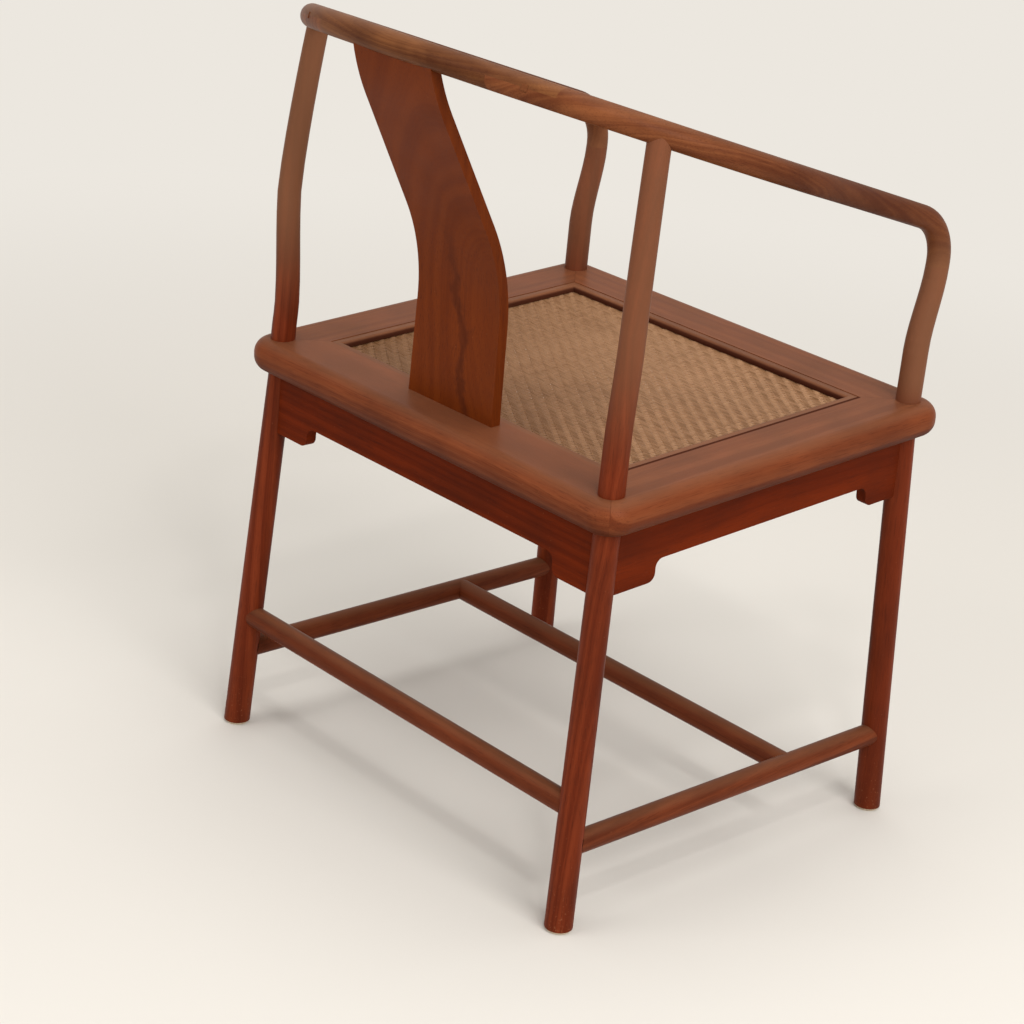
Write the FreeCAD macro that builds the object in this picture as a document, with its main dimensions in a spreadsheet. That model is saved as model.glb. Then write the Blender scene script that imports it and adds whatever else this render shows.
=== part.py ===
# Horseshoe armchair in hardwood with a cane seat, after the round-limbed Chinese pattern.
# Four splayed legs run up through a mitred seat frame and become the posts of one sloping
# horseshoe rail.  The rail is scarfed from three lengths and turns down over the front posts.
# Millimetres, +Z up, the sitter faces -Y, the sitter's left is +X.  The origin lies on the floor
# under the middle of the overall box.
import FreeCAD
import Part
import Sketcher
import os

# Driving dimensions: name, value in millimetres or degrees, what it measures.
SIZES = (
    ("post_span", 488.0, "post axes, side to side"),
    ("post_depth", 413.0, "post axes, front to back"),
    ("seat_height", 440.0, "floor to seat top at the back posts"),
    ("seat_rise", 21.0, "seat top higher at the front posts by"),
    ("splay_side", 14.0, "foot stands out sideways by"),
    ("splay_depth", 20.0, "foot stands out to the front or back by"),
    ("foot_dia", 28.0, "leg at the floor"),
    ("leg_dia", 25.4, "leg and post at the seat frame"),
    ("passage_dia", 20.0, "leg inside the seat frame"),
    ("passage_grip", 14.0, "that part runs on into leg and post by"),
    ("post_top_dia", 22.4, "back post under the rail"),
    ("pad_dia", 23.0, "felt pad"),
    ("pad_thick", 3.0, "felt pad"),
    ("waist_rise", 40.0, "back post, waist above the seat"),
    ("waist_in", 1.2, "back post, waist drawn in by"),
    ("belly_rise", 155.0, "back post, belly above the seat"),
    ("belly_out", 4.4, "back post, belly stands out sideways by"),
    ("top_in", 6.0, "back post top, inside its foot by"),
    ("top_forward", 16.4, "back post top, in front of its foot by"),
    ("neck_rise", 52.0, "front post, straight above the seat for"),
    ("hand_step", 13.0, "front post, neck sweeps forward by"),
    ("post_tenon_dia", 11.0, "tenons of the posts in the rail"),
    ("post_tenon_depth", 15.0, "tenons of the front posts in the rail"),
    ("frame_overhang", 29.5, "seat frame beyond the post axes"),
    ("frame_thick", 34.0, "seat frame"),
    ("edge_round", 15.0, "bullnose of the seat frame"),
    ("rail_face", 64.5, "top face of a seat rail"),
    ("rebate_width", 10.0, "ledge for the cane and its strips"),
    ("rebate_depth", 9.5, "ledge below the seat top"),
    ("strip_thick", 6.5, "pressing strip"),
    ("strip_gap", 0.4, "pressing strip, clear of the ledge's wall by"),
    ("strip_round", 4.0, "inner edge of a pressing strip"),
    ("cane_thick", 2.5, "cane mat"),
    ("cane_sag", 4.0, "cane mat, sunk in the middle by"),
    ("cane_run", 90.0, "cane mat, width of its sinking border"),
    ("mitre_tenon_width", 18.0, "tenon at a mitre of the frame"),
    ("mitre_tenon_thick", 10.0, "tenon at a mitre of the frame"),
    ("mitre_tenon_cover", 3.0, "wood between that tenon and the ledge"),
    ("mitre_tenon_reach", 4.0, "tenon goes past the post axis by"),
    ("brace_offset", 78.0, "transverse brace from the middle"),
    ("brace_width", 24.0, "transverse brace"),
    ("brace_hollow", 10.0, "transverse brace, hollow of its top"),
    ("brace_tenon_width", 12.0, "tenon of a brace"),
    ("brace_tenon_height", 7.0, "tenon of a brace"),
    ("brace_tenon_depth", 14.0, "tenon of a brace"),
    ("apron_drop", 78.0, "apron edge below the seat top"),
    ("apron_thick", 12.0, "apron board"),
    ("spandrel_depth", 22.0, "spandrel below the apron edge"),
    ("spandrel_reach", 58.5, "spandrel from the post axis"),
    ("spandrel_round", 9.0, "round corners of a spandrel"),
    ("tongue_thick", 6.0, "tongue of an apron in a leg"),
    ("tongue_depth", 5.0, "tongue of an apron in a leg"),
    ("stretcher_dia", 23.0, "round stretchers"),
    ("stretcher_tenon_dia", 13.0, "tenons of the stretchers"),
    ("side_height", 88.0, "axis of the side and cross stretchers"),
    ("back_height", 127.5, "axis of the back stretcher"),
    ("cross_forward", 85.0, "cross stretcher in front of the seat's middle"),
    ("splat_setin", 21.4, "splat foot in front of the back post axes"),
    ("splat_thick", 11.0, "splat board"),
    ("splat_foot_width", 123.6, "splat at the seat"),
    ("splat_top_width", 107.5, "splat at the rail"),
    ("splat_rise", 96.5, "splat, upright above the seat for"),
    ("splat_straight", 126.0, "splat, straight between its two bends"),
    ("splat_end_lean", 12.5, "splat, lean at its tip in degrees"),
    ("splat_tip_back", 1.4, "splat tip behind the rail axis"),
    ("splat_tenon_width", 86.0, "tenons of the splat"),
    ("splat_tenon_thick", 6.0, "tenons of the splat"),
    ("splat_tenon_depth", 14.0, "tenon of the splat in the seat"),
    ("rail_dia", 23.4, "horseshoe rail"),
    ("rail_back_height", 804.0, "rail axis above the floor at the back"),
    ("rail_back_reach", 293.0, "rail axis behind the seat's middle"),
    ("rail_hand_height", 643.0, "rail slope above the floor at the hands"),
    ("crest_ease", 0.611, "tangents of the crest's arc, over those of a corner's arc"),
    ("corner_ease", 0.728, "bend of the arms at their widest, over a plain arc through posts and crest"),
    ("arm_spread", 281.0, "rail axis from the middle at its widest"),
    ("hand_radius", 52.0, "bend of the rail down to the front post"),
    ("hand_drop", 4.0, "upright end of the rail under that bend"),
    ("scarf_inner", 115.0, "scarf from the middle, inner shoulder"),
    ("scarf_outer", 177.0, "scarf from the middle, outer shoulder"),
    ("wedge_size", 6.0, "square wedge pin of a scarf"),
    ("wedge_proud", 0.6, "wedge pin stands out of the rail by"),
)

# Places worked out from the driving dimensions.  In the slope of the rail, v runs uphill to the back.
# The swing of an arm touches its widest line and passes the back post.  From there the corner's arc
# and then the crest's arc lead to the crest; turn is the length of the corner's tangents, and the two
# arcs touch at the bend.  The bow of the splat is the one radius of both its bends that a crossing
# tangent of the given straight length joins, from the upright foot to the leaning tip.
PLACES = (
    ("post_x", "dim.post_span / 2"),
    ("post_y", "dim.post_depth / 2"),
    ("hand_y", "at.post_y + dim.hand_step"),
    ("front_reach", "at.post_y + dim.splay_depth + dim.foot_dia / 2"),
    ("mid_y", "(at.front_reach - dim.rail_back_reach - dim.rail_dia / 2) / 2"),
    ("pitch", "atan(dim.seat_rise / dim.post_depth)"),
    ("seat_z", "dim.seat_height + dim.seat_rise / 2"),
    ("front_z", "dim.seat_height + dim.seat_rise"),
    ("collar", "dim.leg_dia * tan(at.pitch)"),
    ("back_under", "dim.seat_height - dim.frame_thick / cos(at.pitch) - at.collar"),
    ("front_under", "at.front_z - dim.frame_thick / cos(at.pitch) - at.collar"),
    ("post_v", "at.post_y / cos(at.pitch)"),
    ("frame_x", "at.post_x + dim.frame_overhang"),
    ("frame_v", "at.post_v + dim.frame_overhang"),
    ("rebate_x", "at.frame_x - dim.rail_face"),
    ("rebate_v", "at.frame_v - dim.rail_face"),
    ("strip_x", "at.rebate_x - dim.strip_gap"),
    ("strip_v", "at.rebate_v - dim.strip_gap"),
    ("inner_x", "at.rebate_x - dim.rebate_width"),
    ("inner_v", "at.rebate_v - dim.rebate_width"),
    ("mitre_out", "dim.frame_overhang * 1.5"),
    ("tenon_v", "(at.inner_v + at.post_v - dim.leg_dia / 2) / 2"),
    ("tenon_z", "dim.rebate_depth + dim.mitre_tenon_cover"),
    ("splay_run", "sqrt(dim.splay_side ^ 2 + dim.splay_depth ^ 2)"),
    ("splay_way", "atan(dim.splay_depth / dim.splay_side)"),
    ("apron_low", "dim.apron_drop + dim.spandrel_depth"),
    ("apron_share", "(at.apron_low - dim.frame_thick) / 2 / (at.back_under - dim.pad_thick)"),
    ("apron_x", "at.post_x + dim.splay_side * at.apron_share"),
    ("apron_y", "at.post_y + dim.splay_depth * at.apron_share"),
    ("tongue_in", "dim.leg_dia / 2 - dim.tongue_depth"),
    ("side_share", "(at.back_under - dim.side_height) / (at.back_under - dim.pad_thick)"),
    ("side_share_front", "(at.front_under - dim.side_height) / (at.front_under - dim.pad_thick)"),
    ("back_share", "(at.back_under - dim.back_height) / (at.back_under - dim.pad_thick)"),
    ("side_x", "at.post_x + dim.splay_side * at.side_share"),
    ("side_back_y", "at.post_y + dim.splay_depth * at.side_share"),
    ("side_front_y", "at.post_y + dim.splay_depth * at.side_share_front"),
    ("back_x", "at.post_x + dim.splay_side * at.back_share"),
    ("back_y", "at.post_y + dim.splay_depth * at.back_share"),
    ("rail_fall", "dim.rail_back_height - dim.rail_hand_height"),
    ("rail_pitch", "atan(at.rail_fall / (dim.rail_back_reach + at.hand_y))"),
    ("rail_z", "dim.rail_back_height - dim.rail_back_reach * tan(at.rail_pitch)"),
    ("top_x", "at.post_x - dim.top_in"),
    ("top_y", "at.post_y - dim.top_forward"),
    ("top_z", "at.rail_z + at.top_y * tan(at.rail_pitch)"),
    ("crest_v", "dim.rail_back_reach / cos(at.rail_pitch)"),
    ("top_v", "at.top_y / cos(at.rail_pitch)"),
    ("crest_sag", "at.crest_v - at.top_v"),
    ("plain_radius", "(at.top_x ^ 2 + at.crest_sag ^ 2) / (2 * at.crest_sag)"),
    ("swing_radius", "dim.corner_ease * at.plain_radius"),
    ("swing_x", "dim.arm_spread - at.swing_radius"),
    ("swing_cos", "(at.top_x - at.swing_x) / at.swing_radius"),
    ("swing_sin", "sqrt(1 - at.swing_cos ^ 2)"),
    ("swing_v", "at.top_v - at.swing_radius * at.swing_sin"),
    ("turn_square", "2 * dim.crest_ease * (1 - at.swing_sin)"),
    ("turn_plain", "2 * (at.top_x * (dim.crest_ease + at.swing_sin) + at.crest_sag * at.swing_cos)"),
    ("turn_rest", "at.top_x ^ 2 + at.crest_sag ^ 2"),
    ("turn_root", "sqrt(at.turn_plain ^ 2 + 4 * at.turn_square * at.turn_rest)"),
    ("turn", "2 * at.turn_rest / (at.turn_plain + at.turn_root)"),
    ("crest_turn", "dim.crest_ease * at.turn"),
    ("bend_share", "dim.crest_ease / (1 + dim.crest_ease)"),
    ("bend_x", "at.crest_turn + (at.top_x - at.turn * at.swing_sin - at.crest_turn) * at.bend_share"),
    ("bend_drop", "(at.crest_sag - at.turn * at.swing_cos) * at.bend_share"),
    ("bend_v", "at.crest_v - at.bend_drop"),
    ("crest_radius", "(at.bend_x ^ 2 + at.bend_drop ^ 2) / (2 * at.bend_drop)"),
    ("crest_mid_v", "at.crest_v - at.crest_radius"),
    ("past_x", "at.top_x - at.bend_x"),
    ("past_v", "at.top_v - at.bend_v"),
    ("past_out", "at.past_x * at.swing_cos + at.past_v * at.swing_sin"),
    ("corner_radius", "(at.past_x ^ 2 + at.past_v ^ 2) / (2 * at.past_out)"),
    ("corner_x", "at.top_x - at.corner_radius * at.swing_cos"),
    ("corner_v", "at.top_v - at.corner_radius * at.swing_sin"),
    ("hand_inset", "dim.hand_radius * (1 - sin(at.rail_pitch))"),
    ("hand_v", "(at.hand_inset - at.hand_y) / cos(at.rail_pitch)"),
    ("hand_top", "at.rail_z + at.hand_v * sin(at.rail_pitch)"),
    ("hand_z", "at.hand_top - dim.hand_radius * cos(at.rail_pitch) - dim.hand_drop"),
    ("run_a", "at.post_x - at.swing_x"),
    ("run_b", "at.hand_v - at.swing_v"),
    ("run_far", "at.run_a ^ 2 + at.run_b ^ 2 - at.swing_radius ^ 2"),
    ("run_radius", "at.run_far / (2 * (at.swing_radius - at.run_a))"),
    ("run_x", "at.post_x + at.run_radius"),
    ("meet_share", "at.swing_radius / (at.swing_radius + at.run_radius)"),
    ("meet_x", "at.swing_x + (at.run_x - at.swing_x) * at.meet_share"),
    ("meet_v", "at.swing_v + at.run_b * at.meet_share"),
    ("arm_start_x", "at.bend_x * 0.7"),
    ("arm_start_v", "at.crest_mid_v + sqrt(at.crest_radius ^ 2 - at.arm_start_x ^ 2)"),
    ("crest_end_x", "dim.scarf_outer + dim.rail_dia"),
    ("crest_end_v", "at.corner_v + sqrt(at.corner_radius ^ 2 - (at.crest_end_x - at.corner_x) ^ 2)"),
    ("pin_sin", "((dim.scarf_inner + dim.scarf_outer) / 2 - at.corner_x) / at.corner_radius"),
    ("pin_cos", "sqrt(1 - at.pin_sin ^ 2)"),
    ("splat_y", "at.post_y - dim.splat_setin"),
    ("splat_foot_z", "at.seat_z - at.splat_y * tan(at.pitch)"),
    ("splat_low_z", "at.splat_foot_z - dim.splat_tenon_depth"),
    ("splat_bend_z", "at.splat_foot_z + dim.splat_rise"),
    ("tip_y", "dim.rail_back_reach + dim.splat_tip_back"),
    ("splat_run", "at.tip_y - at.splat_y"),
    ("splat_lift", "dim.rail_back_height - at.splat_bend_z"),
    ("tip_cos", "cos(dim.splat_end_lean)"),
    ("tip_sin", "sin(dim.splat_end_lean)"),
    ("bow_square", "2 * (1 - at.tip_cos)"),
    ("bow_plain", "2 * (at.splat_run * (1 + at.tip_cos) - at.splat_lift * at.tip_sin)"),
    ("bow_rest", "at.splat_run ^ 2 + at.splat_lift ^ 2 - dim.splat_straight ^ 2"),
    ("bow_root", "sqrt(at.bow_plain ^ 2 + 4 * at.bow_square * at.bow_rest)"),
    ("bow", "2 * at.bow_rest / (at.bow_plain + at.bow_root)"),
    ("lower_y", "at.splat_y + at.bow"),
    ("upper_y", "at.tip_y - at.bow * at.tip_cos"),
    ("upper_z", "dim.rail_back_height + at.bow * at.tip_sin"),
    ("centre_lean", "atan((at.upper_y - at.lower_y) / (at.upper_z - at.splat_bend_z))"),
    ("splat_lean", "at.centre_lean + atan(2 * at.bow / dim.splat_straight)"),
    ("slope_y", "at.lower_y - at.bow * cos(at.splat_lean)"),
    ("slope_z", "at.splat_bend_z + at.bow * sin(at.splat_lean)"),
    ("crown_y", "at.upper_y + at.bow * cos(at.splat_lean)"),
    ("crown_z", "at.upper_z - at.bow * sin(at.splat_lean)"),
)

X_AXIS = FreeCAD.Vector(1, 0, 0)
Y_AXIS = FreeCAD.Vector(0, 1, 0)
Z_AXIS = FreeCAD.Vector(0, 0, 1)
LEVEL = FreeCAD.Rotation()
ALONG_X = FreeCAD.Rotation(Y_AXIS, 90)
ALONG_Y = FreeCAD.Rotation(X_AXIS, -90)

doc = FreeCAD.newDocument("horseshoe_chair")
pieces = {}


def fill_sheets():
    """Write the driving dimensions and the places that follow from them into two sheets."""
    dim = doc.addObject("Spreadsheet::Sheet", "dim")
    for row, (name, value, meaning) in enumerate(SIZES, 1):
        dim.set(f"A{row}", name)
        dim.set(f"B{row}", str(value))
        dim.setAlias(f"B{row}", name)
        dim.set(f"C{row}", meaning)
    doc.recompute()
    at = doc.addObject("Spreadsheet::Sheet", "at")
    for row, (name, formula) in enumerate(PLACES, 1):
        at.set(f"A{row}", name)
        at.setAlias(f"B{row}", name)
    for row, (name, formula) in enumerate(PLACES, 1):
        at.set(f"B{row}", "=" + formula)
    doc.recompute()


def number(expression):
    """Value of an expression on the sheets as a plain number."""
    value = doc.getObject("dim").evalExpression(expression)
    return float(getattr(value, "Value", value))


def bind(thing, **expressions):
    """Tie properties to expressions, with x, y and z for the place of the object."""
    names = {"x": "Placement.Base.x", "y": "Placement.Base.y", "z": "Placement.Base.z"}
    for name, expression in expressions.items():
        thing.setExpression(names.get(name, name), expression)
    return thing


def new_body(name, z="0", pitch=None):
    """Body in the chair's own frame, or in a frame turned about X by the pitch."""
    body = doc.addObject("PartDesign::Body", name)
    body.Placement = FreeCAD.Placement(FreeCAD.Vector(), FreeCAD.Rotation(X_AXIS, 1 if pitch else 0))
    bind(body, y="at.mid_y", z=z)
    if pitch:
        body.setExpression("Placement.Rotation.Angle", pitch)
    return body


def seat_body(name):
    """Body whose XY plane is the sloping top of the seat."""
    return new_body(name, "at.seat_z", "-at.pitch")


def rail_body(name):
    """Body whose XY plane is the slope of the horseshoe rail."""
    return new_body(name, "at.rail_z", "at.rail_pitch")


def new_sketch(body, name, plane="XY_Plane", **offset):
    """Sketch on an origin plane of the body, moved by x, y and z in its own axes."""
    sketch = body.newObject("Sketcher::SketchObject", name)
    support = next(item for item in body.Origin.OriginFeatures if item.Role == plane)
    sketch.AttachmentSupport = [(support, "")]
    sketch.MapMode = "FlatFace"
    for axis, expression in offset.items():
        sketch.setExpression(f"AttachmentOffset.Base.{axis}", expression)
    return sketch


def hold(sketch, kind, geometry, position, expression):
    """Hold one coordinate of a point by an expression, or on an axis of the sketch where it is 0."""
    if expression == "0":
        axis = -2 if kind == "DistanceX" else -1
        sketch.addConstraint(Sketcher.Constraint("PointOnObject", geometry, position, axis))
        return
    limit = Sketcher.Constraint(kind, -1, 1, geometry, position, number(expression))
    sketch.setExpression(f"Constraints[{sketch.addConstraint(limit)}]", expression)


def outline(sketch, corners, closed=True):
    """Lines and arcs through corners (x, y).  A corner (x, y, cx, cy, turn) starts an arc about cx, cy."""
    points = [FreeCAD.Vector(number(corner[0]), number(corner[1]), 0) for corner in corners]
    count = len(corners) if closed else len(corners) - 1
    ends = []
    for index in range(count):
        here = points[index]
        there = points[(index + 1) % len(points)]
        if len(corners[index]) == 2:
            edge = sketch.addGeometry(Part.LineSegment(here, there))
            ends.append((edge, 1, 2))
            continue
        middle_x, middle_y, turn = corners[index][2:]
        middle = FreeCAD.Vector(number(middle_x), number(middle_y), 0)
        circle = Part.Circle(middle, Z_AXIS, (here - middle).Length)
        first, last = (here, there) if turn == "left" else (there, here)
        arc = Part.ArcOfCircle(circle, circle.parameter(first), circle.parameter(last))
        edge = sketch.addGeometry(arc)
        ends.append((edge, 1, 2) if turn == "left" else (edge, 2, 1))
        chord = there - here
        if abs(chord.y) > abs(chord.x):
            hold(sketch, "DistanceX", edge, 3, middle_x)
        else:
            hold(sketch, "DistanceY", edge, 3, middle_y)
    for index, (edge, start, end) in enumerate(ends):
        hold(sketch, "DistanceX", edge, start, corners[index][0])
        hold(sketch, "DistanceY", edge, start, corners[index][1])
        if closed or index + 1 < count:
            follower, begin, _ = ends[(index + 1) % count]
            sketch.addConstraint(Sketcher.Constraint("Coincident", edge, end, follower, begin))
        else:
            hold(sketch, "DistanceX", edge, end, corners[-1][0])
            hold(sketch, "DistanceY", edge, end, corners[-1][1])
    return sketch


def block(sketch, x0, y0, x1, y1):
    """Rectangle between two opposite corners."""
    return outline(sketch, [(x0, y0), (x1, y0), (x1, y1), (x0, y1)])


def disc(sketch, diameter):
    """Circle about the sketch's own origin."""
    circle = sketch.addGeometry(Part.Circle(FreeCAD.Vector(), Z_AXIS, number(diameter) / 2))
    sketch.addConstraint(Sketcher.Constraint("Coincident", circle, 3, -1, 1))
    limit = Sketcher.Constraint("Diameter", circle, number(diameter))
    sketch.setExpression(f"Constraints[{sketch.addConstraint(limit)}]", diameter)
    return sketch


def pad(sketch, length, side="One side", reverse=False):
    """Pad a sketch in its own body."""
    body = sketch.getParentGeoFeatureGroup()
    feature = body.newObject("PartDesign::Pad", sketch.Name + "_pad")
    feature.Profile = sketch
    feature.SideType = side
    feature.Reversed = reverse
    return bind(feature, Length=length)


def loft(body, name, sections):
    """Straight facets from sketch to sketch of one body."""
    feature = body.newObject("PartDesign::AdditiveLoft", name)
    feature.Profile = sections[0]
    feature.Sections = sections[1:]
    feature.Ruled = True
    return feature


def tube(body, path, diameter):
    """Round bar along a path sketch."""
    section = body.newObject("Sketcher::SketchObject", path.Name + "_section")
    section.AttachmentSupport = [(path, "Edge1")]
    section.MapMode = "NormalToEdge"
    section.MapPathParameter = 0
    disc(section, diameter)
    doc.recompute()
    feature = body.newObject("PartDesign::AdditivePipe", path.Name + "_tube")
    feature.Profile = section
    feature.Spine = path
    return feature


def bar(name, rotation, x, y, z, diameter, length):
    """Plain round bar from a point, along the rotation's own Z."""
    rod = doc.addObject("Part::Cylinder", name)
    rod.Placement = FreeCAD.Placement(FreeCAD.Vector(), rotation)
    return bind(rod, x=x, y="at.mid_y + " + y, z=z, Radius=f"({diameter}) / 2", Height=length)


def cut(base, *tools):
    """Base less every tool, one after the other."""
    for tool in tools:
        result = doc.addObject("Part::Cut", base.Name + "_less")
        result.Base = base
        result.Tool = tool
        base = result
    return base


def join(*shapes):
    """Shapes fused into one solid."""
    result = doc.addObject("Part::MultiFuse", shapes[0].Name + "_joined")
    result.Shapes = list(shapes)
    return result


def within(*shapes):
    """What the shapes have in common."""
    result = doc.addObject("Part::MultiCommon", shapes[0].Name + "_within")
    result.Shapes = list(shapes)
    return result


def mirrored(source):
    """Copy on the other side of the chair's middle plane."""
    result = doc.addObject("Part::Mirroring", source.Name + "_mirrored")
    result.Source = source
    result.Normal = X_AXIS
    return result


def keep(label, thing):
    """Name a finished piece."""
    thing.Label = label
    pieces[label] = thing
    return thing


def keep_pair(label, left):
    """Name a finished piece of the left side and its mirror image on the right."""
    keep(label + "_left", left)
    keep(label + "_right", mirrored(left))


def section(body, name, x, y, z, diameter):
    """Level round section of a leg or post."""
    return disc(new_sketch(body, name, x=x, y=y, z=z), diameter)


def leg_cone(name, side, under):
    """Leg turned about its splayed axis, running on into the seat frame and below the floor line.

    side is 1 at the back and -1 at the front; under is the level where the leg meets its post's axis.
    """
    body = doc.addObject("PartDesign::Body", name)
    body.Placement = FreeCAD.Placement(FreeCAD.Vector(), FreeCAD.Rotation(Z_AXIS, 1))
    bind(body, x="at.post_x", y=f"at.mid_y + {side} * at.post_y")
    body.setExpression("Placement.Rotation.Angle", f"{side} * at.splay_way")
    length = f"({under} - dim.pad_thick)"
    lean = f"atan(at.splay_run / {length})"
    ends = []
    for drop in ("(-dim.frame_thick / 2)", f"({length} + dim.foot_dia / 4)"):
        share = f"{drop} / {length}"
        radius = f"(dim.leg_dia + (dim.foot_dia - dim.leg_dia) * {share}) / 2"
        ends.append((f"at.splay_run * {share}", f"{under} - {drop}", radius))
    half = new_sketch(body, name + "_half", "XZ_Plane")
    axis = [(x, z) for x, z, radius in ends]
    rim = [(f"{x} + {radius} * cos({lean})", f"{z} + {radius} * sin({lean})") for x, z, radius in ends]
    outline(half, axis + rim[::-1])
    line = half.addGeometry(half.Geometry[0].copy(), True)
    for end in (1, 2):
        half.addConstraint(Sketcher.Constraint("Coincident", line, end, 0, end))
    turned = body.newObject("PartDesign::Revolution", name + "_turned")
    turned.Profile = half
    turned.ReferenceAxis = (half, ["Axis0"])
    turned.Angle = 360
    return body


def swell(share):
    """Bend that leaves and arrives upright."""
    return share * share * (3 - 2 * share)


def gather(share):
    """Bend that gathers pace towards its end."""
    return share ** 1.3


def post(name, seat, start, stations):
    """Post above the seat: a straight foot out of the frame, then facets through rings up to each station.

    seat is the level of the seat top at the post and start the ring (x, y, z, diameter) that ends the
    straight foot.  A station is such a ring with its number of facets and the way the bend gets there.
    """
    body = new_body(name)
    foot = f"{seat} - dim.frame_thick / 2"
    pad(section(body, name + "_foot", start[0], start[1], foot, start[3]), f"{start[2]} - ({foot})")
    rings = [section(body, name + "_base", *start)]
    for *station, facets, bend in stations:
        for step in range(1, facets + 1):
            share = step / facets
            shares = (bend(share), bend(share), share, share)
            ring = [f"({low}) + (({high}) - ({low})) * {part:.6g}"
                    for low, high, part in zip(start, station, shares)]
            rings.append(section(body, f"{name}_ring{len(rings)}", *ring))
        start = station
    loft(body, name + "_bent", rings)
    return body


def posts():
    """Back and front posts of the left side."""
    taper = "dim.leg_dia + (dim.post_top_dia - dim.leg_dia) * {} / (at.top_z - dim.seat_height)"
    foot = ("at.post_x", "at.post_y", "dim.seat_height + at.collar", "dim.leg_dia")
    back = post("back_post", "dim.seat_height", foot, [
        ("at.post_x - dim.waist_in", "at.post_y - dim.waist_in", "dim.seat_height + dim.waist_rise",
         taper.format("dim.waist_rise"), 3, swell),
        ("at.post_x + dim.belly_out", "at.post_y", "dim.seat_height + dim.belly_rise",
         taper.format("dim.belly_rise"), 5, swell),
        ("at.top_x", "at.top_y", "at.top_z", "dim.post_top_dia", 6, gather),
    ])
    neck = ("at.post_x", "-at.post_y", "at.front_z + dim.neck_rise", "dim.leg_dia")
    hand = ("at.post_x", "-at.hand_y", "at.hand_z", "dim.rail_dia", 7, swell)
    return back, post("front_post", "at.front_z", neck, [hand])


def passages():
    """Parts of the left back and front legs inside the seat frame, gripped by the mitred rails."""
    bars = []
    for name, side, under, seat in (("back", "", "at.back_under", "dim.seat_height"),
                                    ("front", "-", "at.front_under", "at.front_z")):
        bars.append(bar(name + "_passage", LEVEL, "at.post_x", side + "at.post_y",
                        f"{under} - dim.passage_grip", "dim.passage_dia",
                        f"{seat} - {under} + 2 * dim.passage_grip"))
    return bars


def frame_blank():
    """Whole seat frame: rounded outline, open middle, ledge for the cane, bullnosed edge."""
    body = seat_body("frame")
    sketch = new_sketch(body, "frame_plan")
    corner_x, corner_v = "at.post_x", "at.post_v"
    outline(sketch, [
        ("at.frame_x", f"-{corner_v}"),
        ("at.frame_x", corner_v, corner_x, corner_v, "left"),
        (corner_x, "at.frame_v"),
        (f"-{corner_x}", "at.frame_v", f"-{corner_x}", corner_v, "left"),
        ("-at.frame_x", corner_v),
        ("-at.frame_x", f"-{corner_v}", f"-{corner_x}", f"-{corner_v}", "left"),
        (f"-{corner_x}", "-at.frame_v"),
        (corner_x, "-at.frame_v", corner_x, f"-{corner_v}", "left"),
    ])
    block(sketch, "-at.inner_x", "-at.inner_v", "at.inner_x", "at.inner_v")
    pad(sketch, "dim.frame_thick", reverse=True)
    ledge = new_sketch(body, "ledge_plan")
    block(ledge, "-at.rebate_x", "-at.rebate_v", "at.rebate_x", "at.rebate_v")
    pocket = body.newObject("PartDesign::Pocket", "ledge")
    pocket.Profile = ledge
    bind(pocket, Length="dim.rebate_depth")
    doc.recompute()
    inside_x, inside_v = number("at.rebate_x") + 1, number("at.rebate_v") + 1
    edges = []
    for index, edge in enumerate(pocket.Shape.Edges, 1):
        box = edge.BoundBox
        middle = edge.CenterOfMass
        outer = abs(middle.x) > inside_x or abs(middle.y) > inside_v
        if outer and box.ZLength < 1:
            edges.append(f"Edge{index}")
    bullnose = body.newObject("PartDesign::Fillet", "bullnose")
    bullnose.Base = (pocket, edges)
    bind(bullnose, Radius="dim.edge_round")
    return body


def mitre_wedges():
    """Four prisms that part a frame along 45 degree mitres through the post axes."""
    far_x, far_v = "(at.post_x + at.mitre_out)", "(at.post_v + at.mitre_out)"
    near_x, near_v = "(at.post_x - dim.rail_face)", "(at.post_v - dim.rail_face)"
    plans = {
        "back": [(near_x, near_v), (far_x, far_v), ("-" + far_x, far_v), ("-" + near_x, near_v)],
        "front": [("-" + near_x, "-" + near_v), ("-" + far_x, "-" + far_v), (far_x, "-" + far_v),
                  (near_x, "-" + near_v)],
        "left": [(near_x, "-" + near_v), (far_x, "-" + far_v), (far_x, far_v), (near_x, near_v)],
    }
    wedges = {}
    for side, plan in plans.items():
        wedges[side] = seat_body("mitre_" + side)
        pad(outline(new_sketch(wedges[side], f"mitre_{side}_plan"), plan), "dim.frame_thick * 4", "Symmetric")
    return wedges


def mitre_tenon(side):
    """Tenon of the front or back seat rail into the left one; side is 1 at the back and -1 at the front."""
    body = seat_body("mitre_tenon_back" if side > 0 else "mitre_tenon_front")
    sketch = new_sketch(body, body.Name + "_plan", z="-at.tenon_z")
    low = f"{side} * at.tenon_v - dim.mitre_tenon_width / 2"
    high = f"{side} * at.tenon_v + dim.mitre_tenon_width / 2"
    block(sketch, "at.post_x - dim.rail_face", low, "at.post_x + dim.mitre_tenon_reach", high)
    pad(sketch, "dim.mitre_tenon_thick", reverse=True)
    return body


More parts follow.
